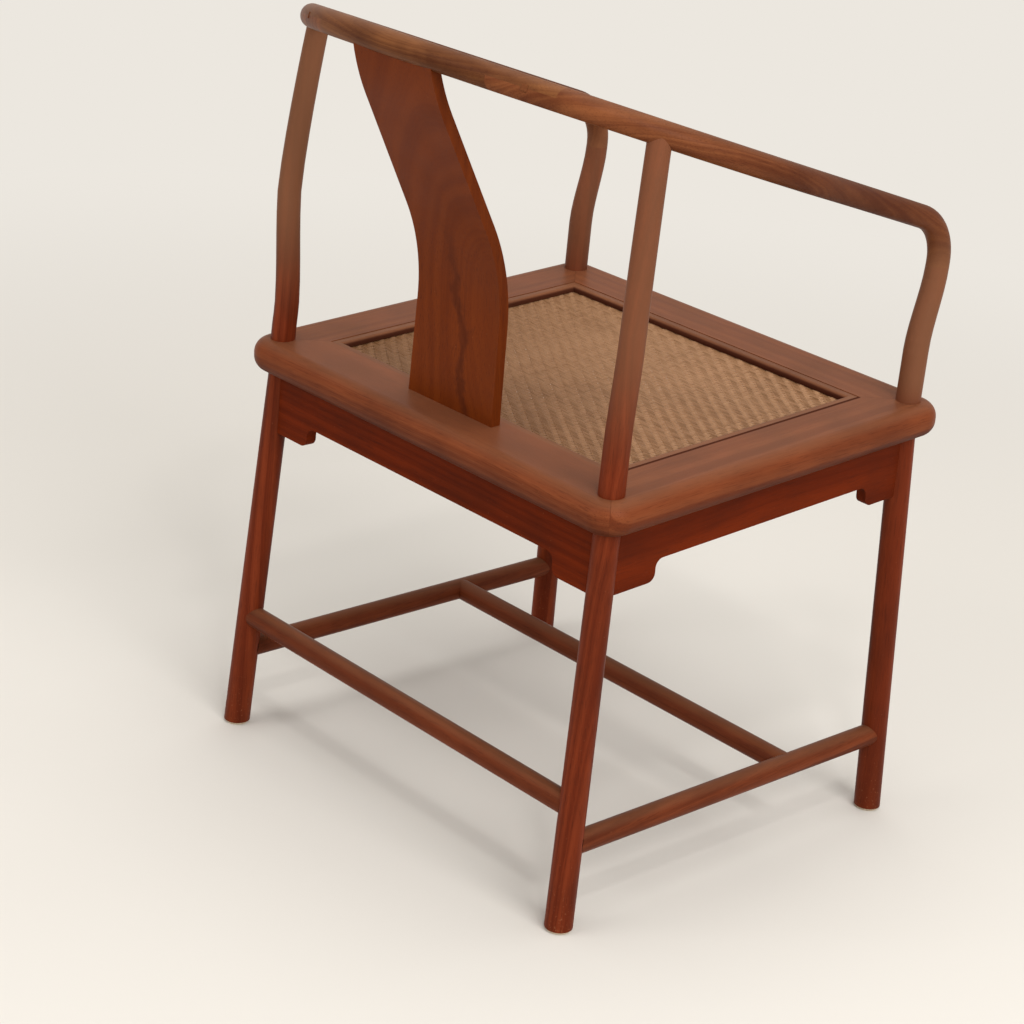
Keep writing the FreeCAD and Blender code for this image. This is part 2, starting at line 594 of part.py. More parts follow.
def brace_blank():
    """Left transverse brace under the cane, hollowed on top, and the core that tenons it to the rails."""
    body = seat_body("brace")
    sketch = new_sketch(body, "brace_side", "YZ_Plane", z="dim.brace_offset")
    crown = "((at.inner_v ^ 2 + dim.brace_hollow ^ 2) / (2 * dim.brace_hollow))"
    middle = f"{crown} - dim.brace_hollow - at.tenon_z"
    outline(sketch, [
        ("-at.inner_v", "-dim.frame_thick"),
        ("at.inner_v", "-dim.frame_thick"),
        ("at.inner_v", "-at.tenon_z", "0", middle, "right"),
        ("-at.inner_v", "-at.tenon_z"),
    ])
    pad(sketch, "dim.brace_width", "Symmetric")
    core = seat_body("brace_core")
    sketch = new_sketch(core, "brace_core_side", "YZ_Plane", z="dim.brace_offset")
    reach = "(at.inner_v + dim.brace_tenon_depth)"
    low = "dim.brace_tenon_height / 2 - dim.frame_thick"
    block(sketch, "-" + reach, low, reach, low + " + dim.brace_tenon_height")
    pad(sketch, "dim.brace_tenon_width", "Symmetric")
    return body, core


def apron_outline(sketch, half, end, top):
    """Straight board to end with a stepped spandrel there; half is the middle to a post axis."""
    edge = f"{half} - dim.spandrel_reach"
    line = f"{top} - dim.apron_drop"
    low = f"{top} - at.apron_low"
    bend = "dim.spandrel_round"
    right = [
        (end, low),
        (end, f"{top} - dim.frame_thick / 2"),
    ]
    left = [
        (f"-({end})", f"{top} - dim.frame_thick / 2"),
        (f"-({end})", low),
    ]
    step_left = [
        (f"-({edge} + {bend})", low, f"-({edge} + {bend})", f"{low} + {bend}", "left"),
        (f"-({edge})", f"{low} + {bend}"),
        (f"-({edge})", f"{line} - {bend}", f"-({edge} - {bend})", f"{line} - {bend}", "right"),
        (f"-({edge} - {bend})", line),
    ]
    step_right = [
        (f"{edge} - {bend}", line, f"{edge} - {bend}", f"{line} - {bend}", "right"),
        (f"{edge}", f"{line} - {bend}"),
        (f"{edge}", f"{low} + {bend}", f"{edge} + {bend}", f"{low} + {bend}", "left"),
        (f"{edge} + {bend}", low),
    ]
    return outline(sketch, left + step_left + step_right + right)


def apron_blank(name, body_maker, plane, offset, half, top):
    """Apron board and the tongue that runs through it into both legs."""
    blanks = []
    for kind, end, thick in (("board", half, "dim.apron_thick"),
                             ("tongue", f"{half} - at.tongue_in", "dim.tongue_thick")):
        body = body_maker(f"{name}_{kind}")
        sketch = new_sketch(body, f"{name}_{kind}_face", plane, z=offset)
        pad(apron_outline(sketch, half, end, top), thick, "Symmetric")
        blanks.append(body)
    return blanks


def seat_and_legs():
    """Seat frame, cane, braces, aprons, stretchers and the four legs that they are tenoned into."""
    back_leg = leg_cone("back_leg", 1, "at.back_under")
    front_leg = leg_cone("front_leg", -1, "at.front_under")
    back_legs = (back_leg, mirrored(back_leg))
    front_legs = (front_leg, mirrored(front_leg))
    back_passage, front_passage = passages()
    back_post, front_post = posts()
    frame = frame_blank()
    wedges = mitre_wedges()
    strips = strip_blank()
    keep("cane_seat", cane_mat())
    for side, wedge in wedges.items():
        strip = within(strips, wedge)
        if side == "left":
            keep_pair("cane_strip", strip)
        else:
            keep("cane_strip_" + side, strip)

    brace, brace_core = brace_blank()
    brace_cores = (brace_core, mirrored(brace_core))
    keep_pair("seat_brace", join(brace, brace_core))
    tenons = {"back": mitre_tenon(1), "front": mitre_tenon(-1)}
    splat_core = splat_board("splat_core", "dim.splat_tenon_thick / 2", "dim.splat_tenon_width",
                             "dim.splat_tenon_width")
    for side, passage in (("back", back_passage), ("front", front_passage)):
        tenon = tenons[side]
        rail = join(within(frame, wedges[side]), tenon, mirrored(tenon))
        rail = cut(rail, passage, mirrored(passage), *brace_cores)
        keep("seat_rail_" + side, cut(rail, splat_core) if side == "back" else rail)
    left = within(frame, wedges["left"])
    keep_pair("seat_rail", cut(left, *tenons.values(), back_passage, front_passage))

    tongues = {}
    for side, legs, sign, top in (("back", back_legs, -1, "dim.seat_height"),
                                  ("front", front_legs, 1, "at.front_z")):
        board, tongue = apron_blank("apron_" + side, new_body, "XZ_Plane", f"{sign} * at.apron_y",
                                    "at.post_x", top)
        tongues[side] = cut(tongue, frame)
        keep("apron_" + side, join(cut(board, frame, *legs), tongues[side]))
    board, tongue = apron_blank("apron_left", seat_body, "YZ_Plane", "at.apron_x", "at.post_v", "0 ")
    tongues["left"] = cut(tongue, frame)
    keep_pair("apron", join(cut(board, frame, back_leg, front_leg), tongues["left"]))

    cores = stretchers(back_legs, front_leg)
    rail_tenon = bar("back_post_tenon", LEVEL, "at.top_x", "at.top_y", "at.top_z - dim.rail_dia",
                     "dim.post_tenon_dia", "dim.rail_dia + dim.post_tenon_dia / 2")
    hand_tenon = bar("front_post_tenon", LEVEL, "at.post_x", "-at.hand_y", "at.hand_z - dim.post_tenon_depth",
                     "dim.post_tenon_dia", "2 * dim.post_tenon_depth")
    arm = rails(rail_tenon, hand_tenon, splat_core)
    floor = doc.addObject("Part::Box", "floor")
    bind(floor, Length="4 * at.frame_x", Width="4 * at.frame_v", Height="dim.foot_dia",
         x="-2 * at.frame_x", y="-2 * at.frame_v", z="dim.pad_thick - dim.foot_dia")
    back = join(cut(back_leg, frame, floor), back_passage, cut(back_post, frame, arm))
    back = cut(back, tongues["back"], tongues["left"], cores["back"], cores["side"])
    keep_pair("leg_back", join(back, rail_tenon))
    front = join(cut(front_leg, frame, floor), front_passage, cut(front_post, frame))
    front = cut(front, tongues["front"], tongues["left"], cores["side"])
    keep_pair("leg_front", join(front, hand_tenon))
    splat = splat_board("splat", "dim.splat_thick / 2", "dim.splat_foot_width", "dim.splat_top_width")
    keep("back_splat", join(cut(splat, frame, doc.getObject("crest_pipe")), splat_core))


def strip_blank():
    """Ring of pressing strips over the edge of the cane, rounded towards the middle."""
    body = seat_body("strips")
    sketch = new_sketch(body, "strip_plan", z="dim.cane_thick - dim.rebate_depth")
    block(sketch, "-at.strip_x", "-at.strip_v", "at.strip_x", "at.strip_v")
    block(sketch, "-at.inner_x", "-at.inner_v", "at.inner_x", "at.inner_v")
    ring = pad(sketch, "dim.strip_thick")
    doc.recompute()
    top = ring.Shape.BoundBox.ZMax
    edges = []
    for index, edge in enumerate(ring.Shape.Edges, 1):
        box = edge.BoundBox
        inner = max(abs(box.XMin), abs(box.XMax)) < number("at.inner_x") + 1
        inner = inner and max(abs(box.YMin), abs(box.YMax)) < number("at.inner_v") + 1
        if inner and box.ZMin > top - 0.01:
            edges.append(f"Edge{index}")
    rounding = body.newObject("PartDesign::Fillet", "strip_rounding")
    rounding.Base = (ring, edges)
    bind(rounding, Radius="dim.strip_round")
    return body


def cane_mat():
    """Cane mat: a level border on the ledge, sinking to a lower middle."""
    body = seat_body("cane_border")
    border = new_sketch(body, "cane_plan", z="-dim.rebate_depth")
    block(border, "-at.rebate_x", "-at.rebate_v", "at.rebate_x", "at.rebate_v")
    pad(border, "dim.cane_thick")
    sunk = []
    for name, top in (("under", "dim.rebate_depth"), ("over", "dim.rebate_depth - dim.cane_thick")):
        hollow = doc.addObject("Part::Wedge", "cane_" + name)
        hollow.Placement = FreeCAD.Placement(FreeCAD.Vector(), FreeCAD.Rotation(X_AXIS, -90))
        hollow.setExpression("Placement.Rotation.Angle", "-(90 deg + at.pitch)")
        bind(hollow, y="at.mid_y", z="at.seat_z", Ymin=top, Ymax=f"{top} + dim.cane_sag")
        for along, inner in (("X", "at.inner_x"), ("Z", "at.inner_v")):
            for level, inset in (("", "dim.cane_thick"), ("2", "dim.cane_run")):
                bind(hollow, **{f"{along}{level}min": f"{inset} - {inner}",
                                f"{along}{level}max": f"{inner} - {inset}"})
        sunk.append(hollow)
    return cut(join(body, sunk[0]), sunk[1])


def stretchers(back_legs, front_leg):
    """Round stretchers, shouldered to what they meet, with cores that run on as tenons to its axis."""
    long_side = "at.side_front_y + at.side_back_y"
    back_place = (ALONG_X, "-at.back_x", "at.back_y", "dim.back_height")
    side_place = (ALONG_Y, "at.side_x", "-at.side_front_y", "dim.side_height")
    cross_place = (ALONG_X, "-at.side_x", "-dim.cross_forward", "dim.side_height")
    cores = {
        "back": bar("back_core", *back_place, "dim.stretcher_tenon_dia", "2 * at.back_x"),
        "side": bar("side_core", *side_place, "dim.stretcher_tenon_dia", long_side),
        "cross": bar("cross_core", *cross_place, "dim.stretcher_tenon_dia", "2 * at.side_x"),
    }
    back = bar("back_bar", *back_place, "dim.stretcher_dia", "2 * at.back_x")
    side = bar("side_bar", *side_place, "dim.stretcher_dia", long_side)
    cross = bar("cross_bar", *cross_place, "dim.stretcher_dia", "2 * at.side_x")
    keep("stretcher_back", join(cut(back, *back_legs), cores["back"]))
    keep("stretcher_cross", join(cut(cross, side, mirrored(side)), cores["cross"]))
    keep_pair("stretcher", cut(join(cut(side, back_legs[0], front_leg), cores["side"]), cores["cross"]))
    return cores


def rails(rail_tenon, hand_tenon, splat_core):
    """Horseshoe rail in three lengths with lapped scarfs and wedge pins; returns the whole left arm."""
    crest = rail_body("crest_pipe")
    path = new_sketch(crest, "crest_path")
    outline(path, [
        ("at.crest_end_x", "at.crest_end_v", "at.corner_x", "at.corner_v", "left"),
        ("at.bend_x", "at.bend_v", "0", "at.crest_mid_v", "left"),
        ("-at.bend_x", "at.bend_v", "-at.corner_x", "at.corner_v", "left"),
        ("-at.crest_end_x", "at.crest_end_v"),
    ], closed=False)
    tube(crest, path, "dim.rail_dia")

    lap = rail_body("scarf")
    sketch = new_sketch(lap, "scarf_face", "XZ_Plane")
    outer, inner, deep = "dim.scarf_outer", "dim.scarf_inner", "dim.rail_dia"
    outline(sketch, [
        ("-" + outer, "0"), ("-" + inner, "0"), ("-" + inner, "-" + deep), (inner, "-" + deep),
        (inner, "0"), (outer, "0"), (outer, deep), ("-" + outer, deep),
    ])
    pad(sketch, "4 * at.crest_v", "Symmetric")

    arm = rail_body("arm_pipe")
    path = new_sketch(arm, "arm_path")
    outline(path, [
        ("at.arm_start_x", "at.arm_start_v", "0", "at.crest_mid_v", "right"),
        ("at.bend_x", "at.bend_v", "at.corner_x", "at.corner_v", "right"),
        ("at.top_x", "at.top_v", "at.swing_x", "at.swing_v", "right"),
        ("at.meet_x", "at.meet_v", "at.run_x", "at.hand_v", "left"),
        ("at.post_x", "at.hand_v"),
    ], closed=False)
    tube(arm, path, "dim.rail_dia")
    hand = new_sketch(arm, "hand_path", "YZ_Plane", z="at.post_x")
    bend_v = "at.hand_v - dim.hand_radius * cos(at.rail_pitch)"
    bend_n = "dim.hand_radius * (sin(at.rail_pitch) - 1)"
    outline(hand, [
        ("at.hand_v", "0", "at.hand_v", "-dim.hand_radius", "left"),
        (bend_v, bend_n),
        (bend_v + " - dim.hand_drop * sin(at.rail_pitch)", bend_n + " - dim.hand_drop * cos(at.rail_pitch)"),
    ], closed=False)
    tube(arm, hand, "dim.rail_dia")

    pin = rail_body("wedge_pin")
    sketch = new_sketch(pin, "wedge_plan")
    corners = []
    for radial, across in ((-1, -1), (1, -1), (1, 1), (-1, 1)):
        reach = f"(at.corner_radius + {radial} * (dim.rail_dia / 2 + dim.wedge_proud))"
        width = f"{across} * dim.wedge_size / 2"
        corners.append((f"at.corner_x + {reach} * at.pin_sin - {width} * at.pin_cos",
                        f"at.corner_v + {reach} * at.pin_cos + {width} * at.pin_sin"))
    pad(outline(sketch, corners), "dim.wedge_size", "Symmetric")
    other_pin = mirrored(pin)

    keep("rail_crest", cut(within(crest, lap), pin, other_pin, splat_core))
    keep_pair("rail_arm", cut(arm, lap, pin, rail_tenon, hand_tenon))
    pins = doc.addObject("Part::Compound", "wedge_pins")
    pins.Links = [pin, other_pin]
    keep("rail_wedge_pins", pins)
    return arm


def splat_board(name, half, foot_width, top_width):
    """S-bent board from the seat to the rail axis; half is half its thickness."""
    body = new_body(name + "_bent")
    sketch = new_sketch(body, name + "_side", "YZ_Plane")
    lean_y, lean_z = "cos(at.splat_lean)", "sin(at.splat_lean)"
    end_y, end_z = "at.tip_cos", "at.tip_sin"
    foot = ("at.splat_y", "at.splat_low_z")
    bend = ("at.splat_y", "at.splat_bend_z")
    slope = ("at.slope_y", "at.slope_z")
    crown = ("at.crown_y", "at.crown_z")
    tip = ("at.tip_y", "dim.rail_back_height")
    lower = ("at.lower_y", "at.splat_bend_z")
    upper = ("at.upper_y", "at.upper_z")

    def side(point, sign, across_y, across_z):
        return (f"{point[0]} + {sign} * ({half}) * {across_y}",
                f"{point[1]} - {sign} * ({half}) * {across_z}")

    outline(sketch, [
        side(foot, 1, "1", "0"),
        side(bend, 1, "1", "0") + lower + ("right",),
        side(slope, 1, lean_y, lean_z),
        side(crown, 1, lean_y, lean_z) + upper + ("left",),
        side(tip, 1, end_y, end_z),
        side(tip, -1, end_y, end_z) + upper + ("right",),
        side(crown, -1, lean_y, lean_z),
        side(slope, -1, lean_y, lean_z) + lower + ("left",),
        side(bend, -1, "1", "0"),
        side(foot, -1, "1", "0"),
    ])
    pad(sketch, f"2 * ({foot_width})", "Symmetric")
    front = new_body(name + "_front")
    sketch = new_sketch(front, name + "_front_face", "XZ_Plane")
    top = "dim.rail_back_height + dim.rail_dia"
    outline(sketch, [
        (f"-({foot_width}) / 2", "at.splat_low_z"),
        (f"({foot_width}) / 2", "at.splat_low_z"),
        (f"({top_width}) / 2", top),
        (f"-({top_width}) / 2", top),
    ])
    pad(sketch, "4 * dim.rail_back_reach", "Symmetric")
    return within(body, front)


def felt_pads():
    """Felt pads under the feet."""
    for name, side in (("front", -1), ("back", 1)):
        foot_y = f"{side} * (at.post_y + dim.splay_depth)"
        disc_pad = bar(f"pad_{name}", LEVEL, "at.post_x + dim.splay_side", foot_y, "0", "dim.pad_dia",
                       "dim.pad_thick")
        keep_pair("foot_pad_" + name, disc_pad)


def write_steps():
    """Stop on any failed object or bad solid, then write one STEP file for each piece."""
    for thing in doc.Objects:
        if "Invalid" in thing.State or "Error" in thing.State:
            raise RuntimeError(f"{thing.Name} failed: {thing.State}")
    for label, thing in pieces.items():
        shape = thing.Shape
        if shape.isNull() or not shape.isValid() or not shape.Solids:
            raise RuntimeError(f"{label} has no sound solid")
    os.makedirs("parts", exist_ok=True)
    for label, thing in pieces.items():
        thing.Shape.exportStep(f"parts/{label}.step")
        print(f"{label}: {len(thing.Shape.Solids)} solids, {thing.Shape.Volume / 1000:.1f} cm3")


fill_sheets()
seat_and_legs()
felt_pads()
doc.recompute()
write_steps()
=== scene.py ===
import math
from types import SimpleNamespace

import bpy
import numpy as np
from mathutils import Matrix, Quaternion, Vector


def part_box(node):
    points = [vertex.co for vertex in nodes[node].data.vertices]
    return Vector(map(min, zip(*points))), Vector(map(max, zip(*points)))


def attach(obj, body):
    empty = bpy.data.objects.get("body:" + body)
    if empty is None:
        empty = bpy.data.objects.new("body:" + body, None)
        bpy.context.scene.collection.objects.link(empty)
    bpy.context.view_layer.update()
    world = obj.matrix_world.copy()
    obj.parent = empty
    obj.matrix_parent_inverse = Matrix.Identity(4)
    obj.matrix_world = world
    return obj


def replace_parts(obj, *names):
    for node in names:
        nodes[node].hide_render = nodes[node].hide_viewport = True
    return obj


# Horseshoe armchair in varnished rosewood with a twilled cane seat.  Metres, +Z up; the sitter faces
# -Y and has +X on the left.  The wooden pieces are the frame's own nodes and get their finish here;
# the cane is woven and the felt pads are formed here.
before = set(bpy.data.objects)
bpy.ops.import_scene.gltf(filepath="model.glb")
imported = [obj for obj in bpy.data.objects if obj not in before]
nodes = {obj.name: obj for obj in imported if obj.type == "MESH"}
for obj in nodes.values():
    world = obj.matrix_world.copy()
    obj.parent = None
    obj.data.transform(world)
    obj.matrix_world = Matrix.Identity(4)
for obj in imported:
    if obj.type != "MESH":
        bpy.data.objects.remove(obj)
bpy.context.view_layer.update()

SEED = 7
ACROSS = (1.0, 0.0, 0.0)
FORE_AND_AFT = (0.0, 1.0, -0.05)
UPRIGHT = (0.0, 0.0, 1.0)


def tone(red, green, blue):
    """Linear colour of an eight-bit one, by the curve of a standard display."""
    levels = np.array((red, green, blue)) / 255
    linear = np.where(levels <= 0.04045, levels / 12.92, ((levels + 0.055) / 1.055) ** 2.4)
    return (*linear.tolist(), 1.0)


# Pale and deep tone of the wood of each kind of piece.
WOOD = {
    "frame": (tone(126, 66, 37), tone(107, 51, 27)),
    "strip": (tone(134, 84, 56), tone(110, 64, 41)),
    "apron": (tone(103, 35, 9), tone(88, 28, 7)),
    "leg": (tone(118, 49, 24), tone(95, 35, 15)),
    "stretcher": (tone(116, 56, 30), tone(90, 40, 20)),
    "splat": (tone(111, 48, 13), tone(100, 41, 10)),
    "crest": (tone(127, 79, 45), tone(101, 58, 32)),
    "arm": (tone(131, 77, 45), tone(104, 55, 31)),
    "pin": (tone(120, 70, 40), tone(100, 56, 31)),
}
WOOD_VEIN = tone(56, 22, 12)
# Pale tone of the painted sheen on up-facing faces and of the painted light on high parts.
WOOD_PAINTED_LIGHT = tone(121, 82, 58)
WOOD_SCUFFED = tone(140, 88, 60)
CANE_PALE = tone(164, 123, 89)
CANE_DEEP = tone(114, 76, 44)
# Colour of the stains and of the painted shade of the cane.
CANE_STAIN_AND_SHADE = tone(88, 51, 18)
FELT_PALE = tone(222, 206, 180)
FELT_DEEP = tone(184, 166, 138)
FLOOR_TONE = tone(222, 217, 209)
BACKDROP = tone(236, 231, 223)
SURROUNDINGS = (0.60, 0.588, 0.57, 1.0)
BLACK = (0.0, 0.0, 0.0, 1.0)


class Nodes:
    """Short way to fill a node tree; each input is given as a plain value or as a socket to link."""

    def __init__(self, tree):
        self.tree = tree

    def link(self, source, target):
        """Link an output to an input."""
        self.tree.links.new(source, target)

    def fill(self, target, value):
        """Link a socket to an input, or set a plain value on it."""
        if isinstance(value, bpy.types.NodeSocket):
            self.link(value, target)
        else:
            target.default_value = value

    def add(self, kind, inputs=None, **settings):
        """Outputs of a new node with these settings and inputs."""
        node = self.tree.nodes.new("ShaderNode" + kind)
        for name, value in settings.items():
            setattr(node, name, value)
        for name, value in (inputs or {}).items():
            self.fill(node.inputs[name], value)
        return node.outputs

    def math(self, operation, *values):
        """Result of a scalar operation."""
        return self.add("Math", dict(enumerate(values)), operation=operation)[0]

    def vector_math(self, operation, *values):
        """Vector that a vector operation gives."""
        return self.add("VectorMath", dict(enumerate(values)), operation=operation)[0]

    def measure(self, operation, *values):
        """Number that a vector operation gives, such as a length."""
        return self.add("VectorMath", dict(enumerate(values)), operation=operation)["Value"]

    def axis(self, vector, name):
        """One coordinate of a vector."""
        return self.add("SeparateXYZ", {0: vector})[name]

    def span(self, value, low, high):
        """Smooth step of a value from 0 at low to 1 at high; low may be the larger."""
        inputs = {"Value": value, "From Min": low, "From Max": high}
        return self.add("MapRange", inputs, interpolation_type="SMOOTHSTEP")["Result"]

    def blend(self, share, first, second):
        """Mix of two colours by a share, which are the inputs 0, 6 and 7 of the Mix node."""
        return self.add("Mix", {0: share, 6: first, 7: second}, data_type="RGBA")[2]

    def noise(self, vector, scale, detail=2.0, roughness=0.5):
        """Outputs of smooth noise about 0.5 in space."""
        inputs = {"Vector": vector, "Scale": scale, "Detail": detail, "Roughness": roughness}
        return self.add("TexNoise", inputs)

    def shake(self, vector, scale, reach):
        """Noise about 0 that spans a reach."""
        return self.math("MULTIPLY_ADD", self.noise(vector, scale, 3.0)[0], reach, -reach / 2)

    def seen(self, ray):
        """1 for rays that come from the camera, straight or by gloss or glass."""
        gloss = self.math("MAXIMUM", ray["Is Glossy Ray"], ray["Is Transmission Ray"])
        return self.math("MAXIMUM", ray["Is Camera Ray"], gloss)


def effect(name, inputs, outputs):
    """Empty shader node group with named sockets: its helper, and what it is given and gives."""
    tree = bpy.data.node_groups.new(name, "ShaderNodeTree")
    for way, sockets in (("INPUT", inputs), ("OUTPUT", outputs)):
        for socket, kind in sockets.items():
            tree.interface.new_socket(socket, in_out=way, socket_type="NodeSocket" + kind)
    given = tree.nodes.new("NodeGroupInput").outputs
    return Nodes(tree), given, tree.nodes.new("NodeGroupOutput").inputs


# Thickness of the pressing strips and of the mat, as the frame has them.
STRIP_THICK = 0.0065
CANE_THICK = 0.0025


def seat_plane():
    """Middle of the mat's underside, its axes back and up, its half width, half depth and border.

    The front and back pressing strips lie in the seat's slope, so the line through their middles is
    its fore-and-aft axis; the mat lies under them, as wide and deep as their outer edges, and they
    cover its border.
    """
    middle = {side: sum(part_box("cane_strip_" + side), Vector()) / 2 for side in ("front", "back")}
    inner, outer = (corner.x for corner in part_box("cane_strip_left"))
    run = middle["back"] - middle["front"]
    back = run.normalized()
    up = Vector(ACROSS).cross(back)
    origin = (middle["front"] + middle["back"]) / 2 - up * (STRIP_THICK / 2 + CANE_THICK)
    border = outer - inner
    return SimpleNamespace(origin=origin, back=back, up=up, half_x=outer,
                           half_v=(run.length + border) / 2, border=border)


# Grain: stretch along the plank and scale of the noise that shakes it, flattening and place of the
# pith, width of a ring, then stretch, scale and range of the noise for rings, pores and mottle.
SHAKE_STRETCH = (1.0, 1.0, 0.22)
SHAKE_SCALE = 11.0
PITH_AXES = (1.0, 0.6, 0.05)
PITH_PLACE = (0.05, 0.03, 0.0)
RING_WIDTH = 0.006
RING_UNEVEN = 0.62
RING_RANGE = (0.30, 0.70)
PORE_STRETCH = (1.0, 1.0, 0.035)
PORE_SCALE = 1300.0
PORE_UNEVEN = 0.6
PORE_RANGE = (0.50, 0.72)
MOTTLE_STRETCH = (1.0, 1.0, 0.5)
MOTTLE_SCALE = 26.0
MOTTLE_RANGE = (0.36, 0.72)


def straight_grain():
    """Grain of a sawn plank whose length is the third axis.

    The distance from a pith beside the plank, shaken by slow noise that is stretched along the plank,
    counts the rings; one-dimensional noise of that count gives bands of uneven width.  Pores are fine
    noise drawn out along the plank, and the mottle is slow noise.
    """
    make, given, result = effect("straight grain", {"Vector": "Vector", "Wander": "Float"},
                                 {"Figure": "Float", "Pores": "Float", "Mottle": "Float"})
    slow = make.vector_math("MULTIPLY", given["Vector"], SHAKE_STRETCH)
    lean = make.noise(slow, SHAKE_SCALE, 3.0)["Color"]
    lean = make.vector_math("SUBTRACT", lean, (0.5, 0.5, 0.5))
    shake = make.add("VectorMath", {0: lean, "Scale": given["Wander"]}, operation="SCALE")[0]
    shaken = make.vector_math("ADD", given["Vector"], shake)
    pith = make.vector_math("ADD", make.vector_math("MULTIPLY", shaken, PITH_AXES), PITH_PLACE)
    count = make.math("DIVIDE", make.measure("LENGTH", pith), RING_WIDTH)
    bands = {"W": count, "Scale": 1.0, "Detail": 3.0, "Roughness": RING_UNEVEN}
    rings = make.add("TexNoise", bands, noise_dimensions="1D")[0]
    drawn = make.vector_math("MULTIPLY", shaken, PORE_STRETCH)
    pores = make.noise(drawn, PORE_SCALE, 2.0, PORE_UNEVEN)[0]
    patches = make.vector_math("MULTIPLY", given["Vector"], MOTTLE_STRETCH)
    mottle = make.noise(patches, MOTTLE_SCALE, 3.0)[0]
    make.link(make.span(rings, *RING_RANGE), result["Figure"])
    make.link(make.span(pores, *PORE_RANGE), result["Pores"])
    make.link(make.span(mottle, *MOTTLE_RANGE), result["Mottle"])
    return make.tree


# Varnish: scale of its clouds; share of the painted sheen on up-facing faces, how far a face turns up
# for it, and its change with the clouds; scale, range and share of the scuffs, the height up to which
# there are more of them, and their chance there and anywhere; roughness, its change with the clouds
# and in a scuff.
CLOUD_SCALE = 17.0
PAINTED_SHEEN_SHARE = 0.4
PAINTED_SHEEN_FACING = (0.45, 0.98)
PAINTED_SHEEN_EVEN = 0.6
PAINTED_SHEEN_CLOUDS = 0.8
SCUFF_SCALE = 420.0
SCUFF_UNEVEN = 0.65
SCUFF_RANGE = (0.70, 0.80)
SCUFF_SHARE = 0.55
SCUFF_HEIGHT = 0.10
SCUFF_LOW = 0.10
SCUFF_ANYWHERE = 0.04
VARNISH_ROUGHNESS = 0.30
VARNISH_CLOUDS = 0.20
SCUFF_ROUGHNESS = 0.20


def worn_varnish_and_light():
    """Old varnish over a colour with painted light: lighter where it faces up or stands high, scuffed
    near the floor.

    The painted sheen follows the upward part of the normal times slow noise, and the painted light on
    high parts is a smooth step of the height from where it begins to where it is full.  Scuffs are
    the crests of fine noise, more of them the nearer the floor.  Gloss varies slowly.
    """
    make, given, result = effect(
        "worn varnish and painted light",
        {"Color": "Color", "Place": "Vector", "Facing": "Vector",
         "Lit share": "Float", "Shaded at": "Float", "Fully lit at": "Float"},
        {"Color": "Color", "Roughness": "Float"})
    height = make.axis(given["Place"], "Z")
    cloud = make.noise(given["Place"], CLOUD_SCALE, 3.0)[0]
    # Painted sheen: faces that turn up are blended towards a pale tone.
    level = make.span(make.axis(given["Facing"], "Z"), *PAINTED_SHEEN_FACING)
    painted_sheen = make.math("MULTIPLY", level, make.math("MULTIPLY_ADD", cloud, PAINTED_SHEEN_CLOUDS, PAINTED_SHEEN_EVEN))
    # Painted light: higher parts are blended towards the same pale tone.
    high = make.span(height, given["Shaded at"], given["Fully lit at"])
    sunned = make.math("MULTIPLY", high, given["Lit share"])
    share = make.math("MAXIMUM", make.math("MULTIPLY", painted_sheen, PAINTED_SHEEN_SHARE), sunned)
    lightened = make.blend(share, given["Color"], WOOD_PAINTED_LIGHT)
    specks = make.noise(given["Place"], SCUFF_SCALE, 3.0, SCUFF_UNEVEN)[0]
    low = make.math("SUBTRACT", 1.0, make.math("DIVIDE", height, SCUFF_HEIGHT))
    anywhere = make.math("MULTIPLY", cloud, SCUFF_ANYWHERE)
    chance = make.math("MULTIPLY_ADD", make.math("MAXIMUM", low, 0.0), SCUFF_LOW, anywhere)
    scuffs = make.span(make.math("ADD", specks, chance), *SCUFF_RANGE)
    worn = make.blend(make.math("MULTIPLY", scuffs, SCUFF_SHARE), lightened, WOOD_SCUFFED)
    gloss = make.math("MULTIPLY_ADD", cloud, VARNISH_CLOUDS, VARNISH_ROUGHNESS)
    make.link(worn, result["Color"])
    make.link(make.math("MULTIPLY_ADD", scuffs, SCUFF_ROUGHNESS, gloss), result["Roughness"])
    return make.tree


def mask(name):
    """Effect that puts out a mask of dark wood or painted shade by the place on a piece and the way
    it faces.
    """
    return effect(name, {"Place": "Vector", "Facing": "Vector"}, {"Mask": "Float"})


# Vein of the splat: height and place of its foot, its lean, count and swing of its waves, scale and
# reach of its shake, its width, the rise over which it ends and its share.  Then the painted shade on
# the splat's edges.
VEIN_FOOT = 0.45
VEIN_X = -0.020
VEIN_LEAN = 0.19
VEIN_WAVES = 70.0
VEIN_SWING = 0.004
VEIN_SHAKE = (60.0, 0.020)
VEIN_WIDTH = (0.009, 0.001)
VEIN_END = (0.19, 0.10)
VEIN_SHARE = 0.5
SPLAT_EDGE_FACING = (0.75, 0.95)
SPLAT_EDGE_SHARE = 0.12


